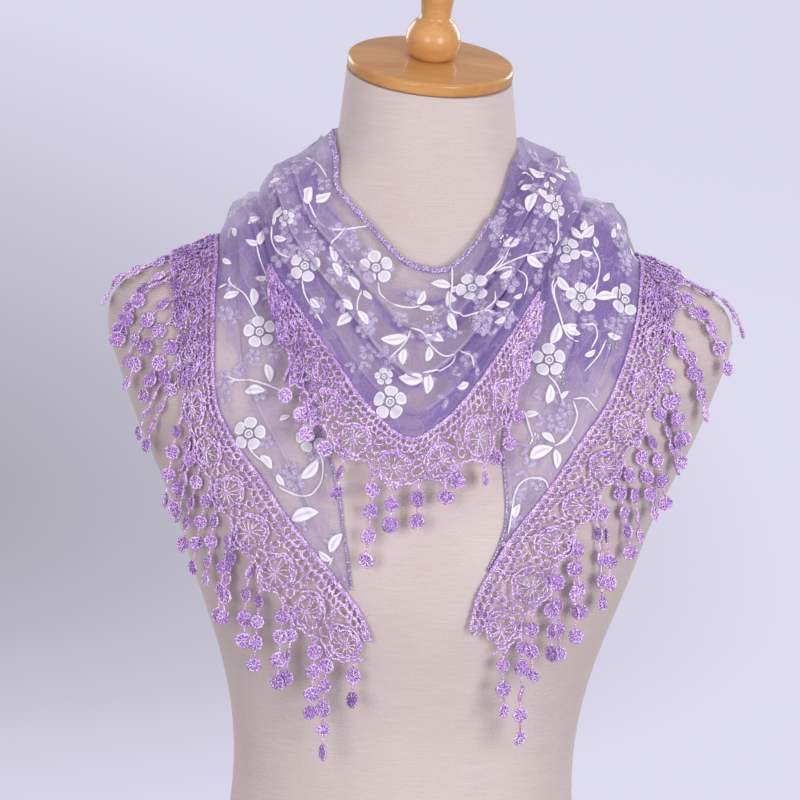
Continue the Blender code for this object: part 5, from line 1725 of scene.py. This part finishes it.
def draped():
    """The five stretches of the shawl."""
    tucked = {"tuck": 7.0, "lap": 9.0}
    return {
        "front": drape(FRONT_RIBS, 2.1, 190, folds=4.0, drift=0.4, lean=3.0, crush=1.1, seed=11),
        "left": drape(LEFT_TAIL, 2.4, 76, folds=2.5, drift=0.6, lean=1.5, crush=0.7, seed=21, **tucked),
        "right": drape(RIGHT_TAIL, 2.4, 76, folds=2.5, drift=-0.4, lean=1.8, crush=0.7, seed=31, **tucked),
        "over": drape(OVER_WRAP, 2.6, 80, folds=3.0, drift=0.5, lean=0.9, crush=0.7, seed=41),
        "under": drape(UNDER_WRAP, 2.6, 70, folds=2.0, drift=-0.4, lean=0.5, crush=0.4, seed=51),
    }


def front_density(front):
    """Folds, denser at both crests, to the right and at the seam, denser with painted shade in the valleys,
    with two sheer places.
    """
    u, t = front["along"], front["across"]
    folds = layered(front, (0.0, 0.04, 0.02, 0.16, 0.30, 0.40, 0.5),
                    (0.08, 0.32, 0.25, 0.50, 0.60, 0.65, 0.7))
    return (folds + 0.30 * np.abs(2 * u - 1) ** 1.7 + 0.95 * (u > 0.54) * (u - 0.54)
            + 0.68 * front["valley_layers_and_shade"] + 0.10 + 0.14 * (t > 0.84) * (1 - np.abs(2 * u - 1))
            - 0.40 * hill((u - 0.30) / 0.15, (t - 0.10) / 0.16)
            - 0.40 * hill((u - 0.40) / 0.09, (t - 0.38) / 0.06))


def left_density(left):
    """Folds, denser towards the crest and along the bound edge there, with a little painted shade in the
    valleys.
    """
    u, t = left["along"], left["across"]
    return (layered(left, (0.02, 0.04, 0.02, 0.06), (0.10, 0.20, 0.16, 0.20))
            + 0.70 * np.exp(-(u / 0.27) ** 4) + 0.7 * hill(u / 0.42, t / 0.22) + 0.15 * left["valley_layers_and_shade"])


def right_density(right):
    """Dense folds thinning along the tail, denser towards the crest and its bound edge, with painted shade in
    the valleys.
    """
    u, t = right["along"], right["across"]
    folds = layered(right, (0.20, 0.30, 0.26, 0.2), (0.45, 0.75, 0.6, 0.5))
    return (folds * (1 - 0.6 * ((u - 0.4) / 0.2).clip(0, 1)) + 0.46 * hill(u / 0.30) + 0.08
            + 0.5 * hill(u / 0.45, t / 0.16) + 0.25 * right["valley_layers_and_shade"])


def wrap_density(wrap, low, high):
    """Folds, denser at both crests."""
    u = wrap["along"]
    return layered(wrap, low, high) + (0.3 * hill(u / 0.14) + 0.3 * hill((1 - u) / 0.14))


def embroidered(stretches, grounds, draw):
    """The embroidery of every stretch, as heaps of white, dark and tonal stitches."""
    heaps = sprigs({name: grounds[name] for name in ("front", "left", "right")}, draw)
    for name, count in (("front", 124), ("left", 34), ("right", 46)):
        shadow_sprigs(heaps[name], grounds[name], stretches[name], count, draw)
    for name in ("over", "under"):
        heaps[name] = (Heap(), Heap(), Heap())
        hidden_sprigs(heaps[name], grounds[name], stretches[name], 34.0, draw)
        shadow_sprigs(heaps[name], grounds[name], stretches[name], 14, draw)
    return heaps


def shawl(draw):
    """The shawl: each stretch's organza as a sheet, and all that is sewn to it."""
    lilac = organza()
    threads = {
        "satin": satin("white_satin_stitch", (0.22, 0.18, 0.34), (0.72, 0.68, 0.83), (0.97, 0.95, 1.0),
                       0.0011),
        "outline": satin("grey_outline_stitch", (0.10, 0.08, 0.17), (0.18, 0.15, 0.28), (0.40, 0.35, 0.50),
                         0.0008),
        "tonal": satin("lilac_satin_stitch", (0.40, 0.31, 0.60), (0.56, 0.47, 0.72), (0.82, 0.75, 0.92),
                       0.0011, 0.60),
    }
    # the yarns' dark and bright colours serve painted shade and highlights, and the last one a painted glint
    yarn = crochet_yarn("lilac_crochet_yarn", (0.15, 0.035, 0.31), (0.57, 0.295, 0.79), (0.89, 0.66, 1.0),
                        (1.0, 0.91, 1.0))
    braid = crochet_yarn("violet_braid", (0.12, 0.07, 0.24), (0.30, 0.21, 0.48), (0.50, 0.38, 0.68),
                         (0.78, 0.68, 0.92))
    silver = sequin()

    made = draped()
    density = {
        "front": front_density(made["front"]),
        "left": left_density(made["left"]),
        "right": right_density(made["right"]),
        "over": wrap_density(made["over"], (0.3, 0.35, 0.4), (0.5, 0.65, 0.7)),
        "under": wrap_density(made["under"], (0.2, 0.2, 0.2), (0.4, 0.45, 0.5)),
    }
    cloths = {name: cloth_piece(name + "_organza", made[name], density[name], lilac, node, **more)
              for name, node, more in CLOTHS}
    sewn = {name: [] for name in cloths}

    grounds = {name: Ground(piece) for name, piece in cloths.items()}
    for name, heaps in embroidered(made, grounds, draw).items():
        for heap, (part, look) in zip(heaps, threads.items()):
            if heap.count:
                sewn[name].append(finished(heap.piece(f"{name}_{part}_embroidery", "edge"), look, "cloth"))
    for name, (shares, columns) in (("right", RIGHT_SEQUINS), ("front", FRONT_SEQUINS)):
        grid = made[name]["grid"]
        places = [grid[int(along * len(grid)), int(across * columns)] for along, across in shares]
        glitter = sequins(grounds[name], places, draw).piece(name + "_sequins", "edge")
        sewn[name].append(finished(glitter, silver, "cloth"))

    for name, rows, hung, skip, seed, ruffle, gathered, start in BORDERS:
        piece, border = lace_piece(start + "_lace_crochet", rows, made[name], yarn, seed, ruffle, gathered,
                                   start + "_lace")
        sewn[name].append(piece)
        sewn[name].append(fringe_piece(start + "_fringe_rosettes", border, hung, yarn, seed, skip,
                                       start + "_fringe"))

    # The neckline's braid stops short of the right crest, and each tail's begins below its tucked part.
    top = slice(0, int(len(made["front"]["grid"]) * 17 / 23))
    sewn["front"].append(binding_piece("neckline_braid", made["front"], top, braid, 1.4, "neckline_binding"))
    for name in ("left", "right"):
        low = slice(int(len(made[name]["grid"]) * 9 / 22), None)
        sewn[name].append(binding_piece(name + "_tail_braid", made[name], low, braid, 0.7,
                                        name + "_tail_binding"))


def main():
    """The form, the shawl on it and the studio round them."""
    scene = bpy.context.scene
    camera()
    wood = varnished_wood()
    dress_form(linen())
    neck_cap(wood)
    finial(wood)
    shawl(np.random.default_rng(7))

    studio(studio_paper())
    for light in LIGHTS:
        softbox(*light)
    world = bpy.data.worlds.new("studio_air")
    world.use_nodes = True
    air = world.node_tree.nodes["Background"].inputs
    air["Color"].default_value = (0.96, 0.91, 0.97, 1)
    air["Strength"].default_value = 0.45
    scene.world = world
    scene.view_settings.view_transform = "Standard"
    scene.cycles.transparent_max_bounces = 24


main()
bpy.context.view_layer.update()
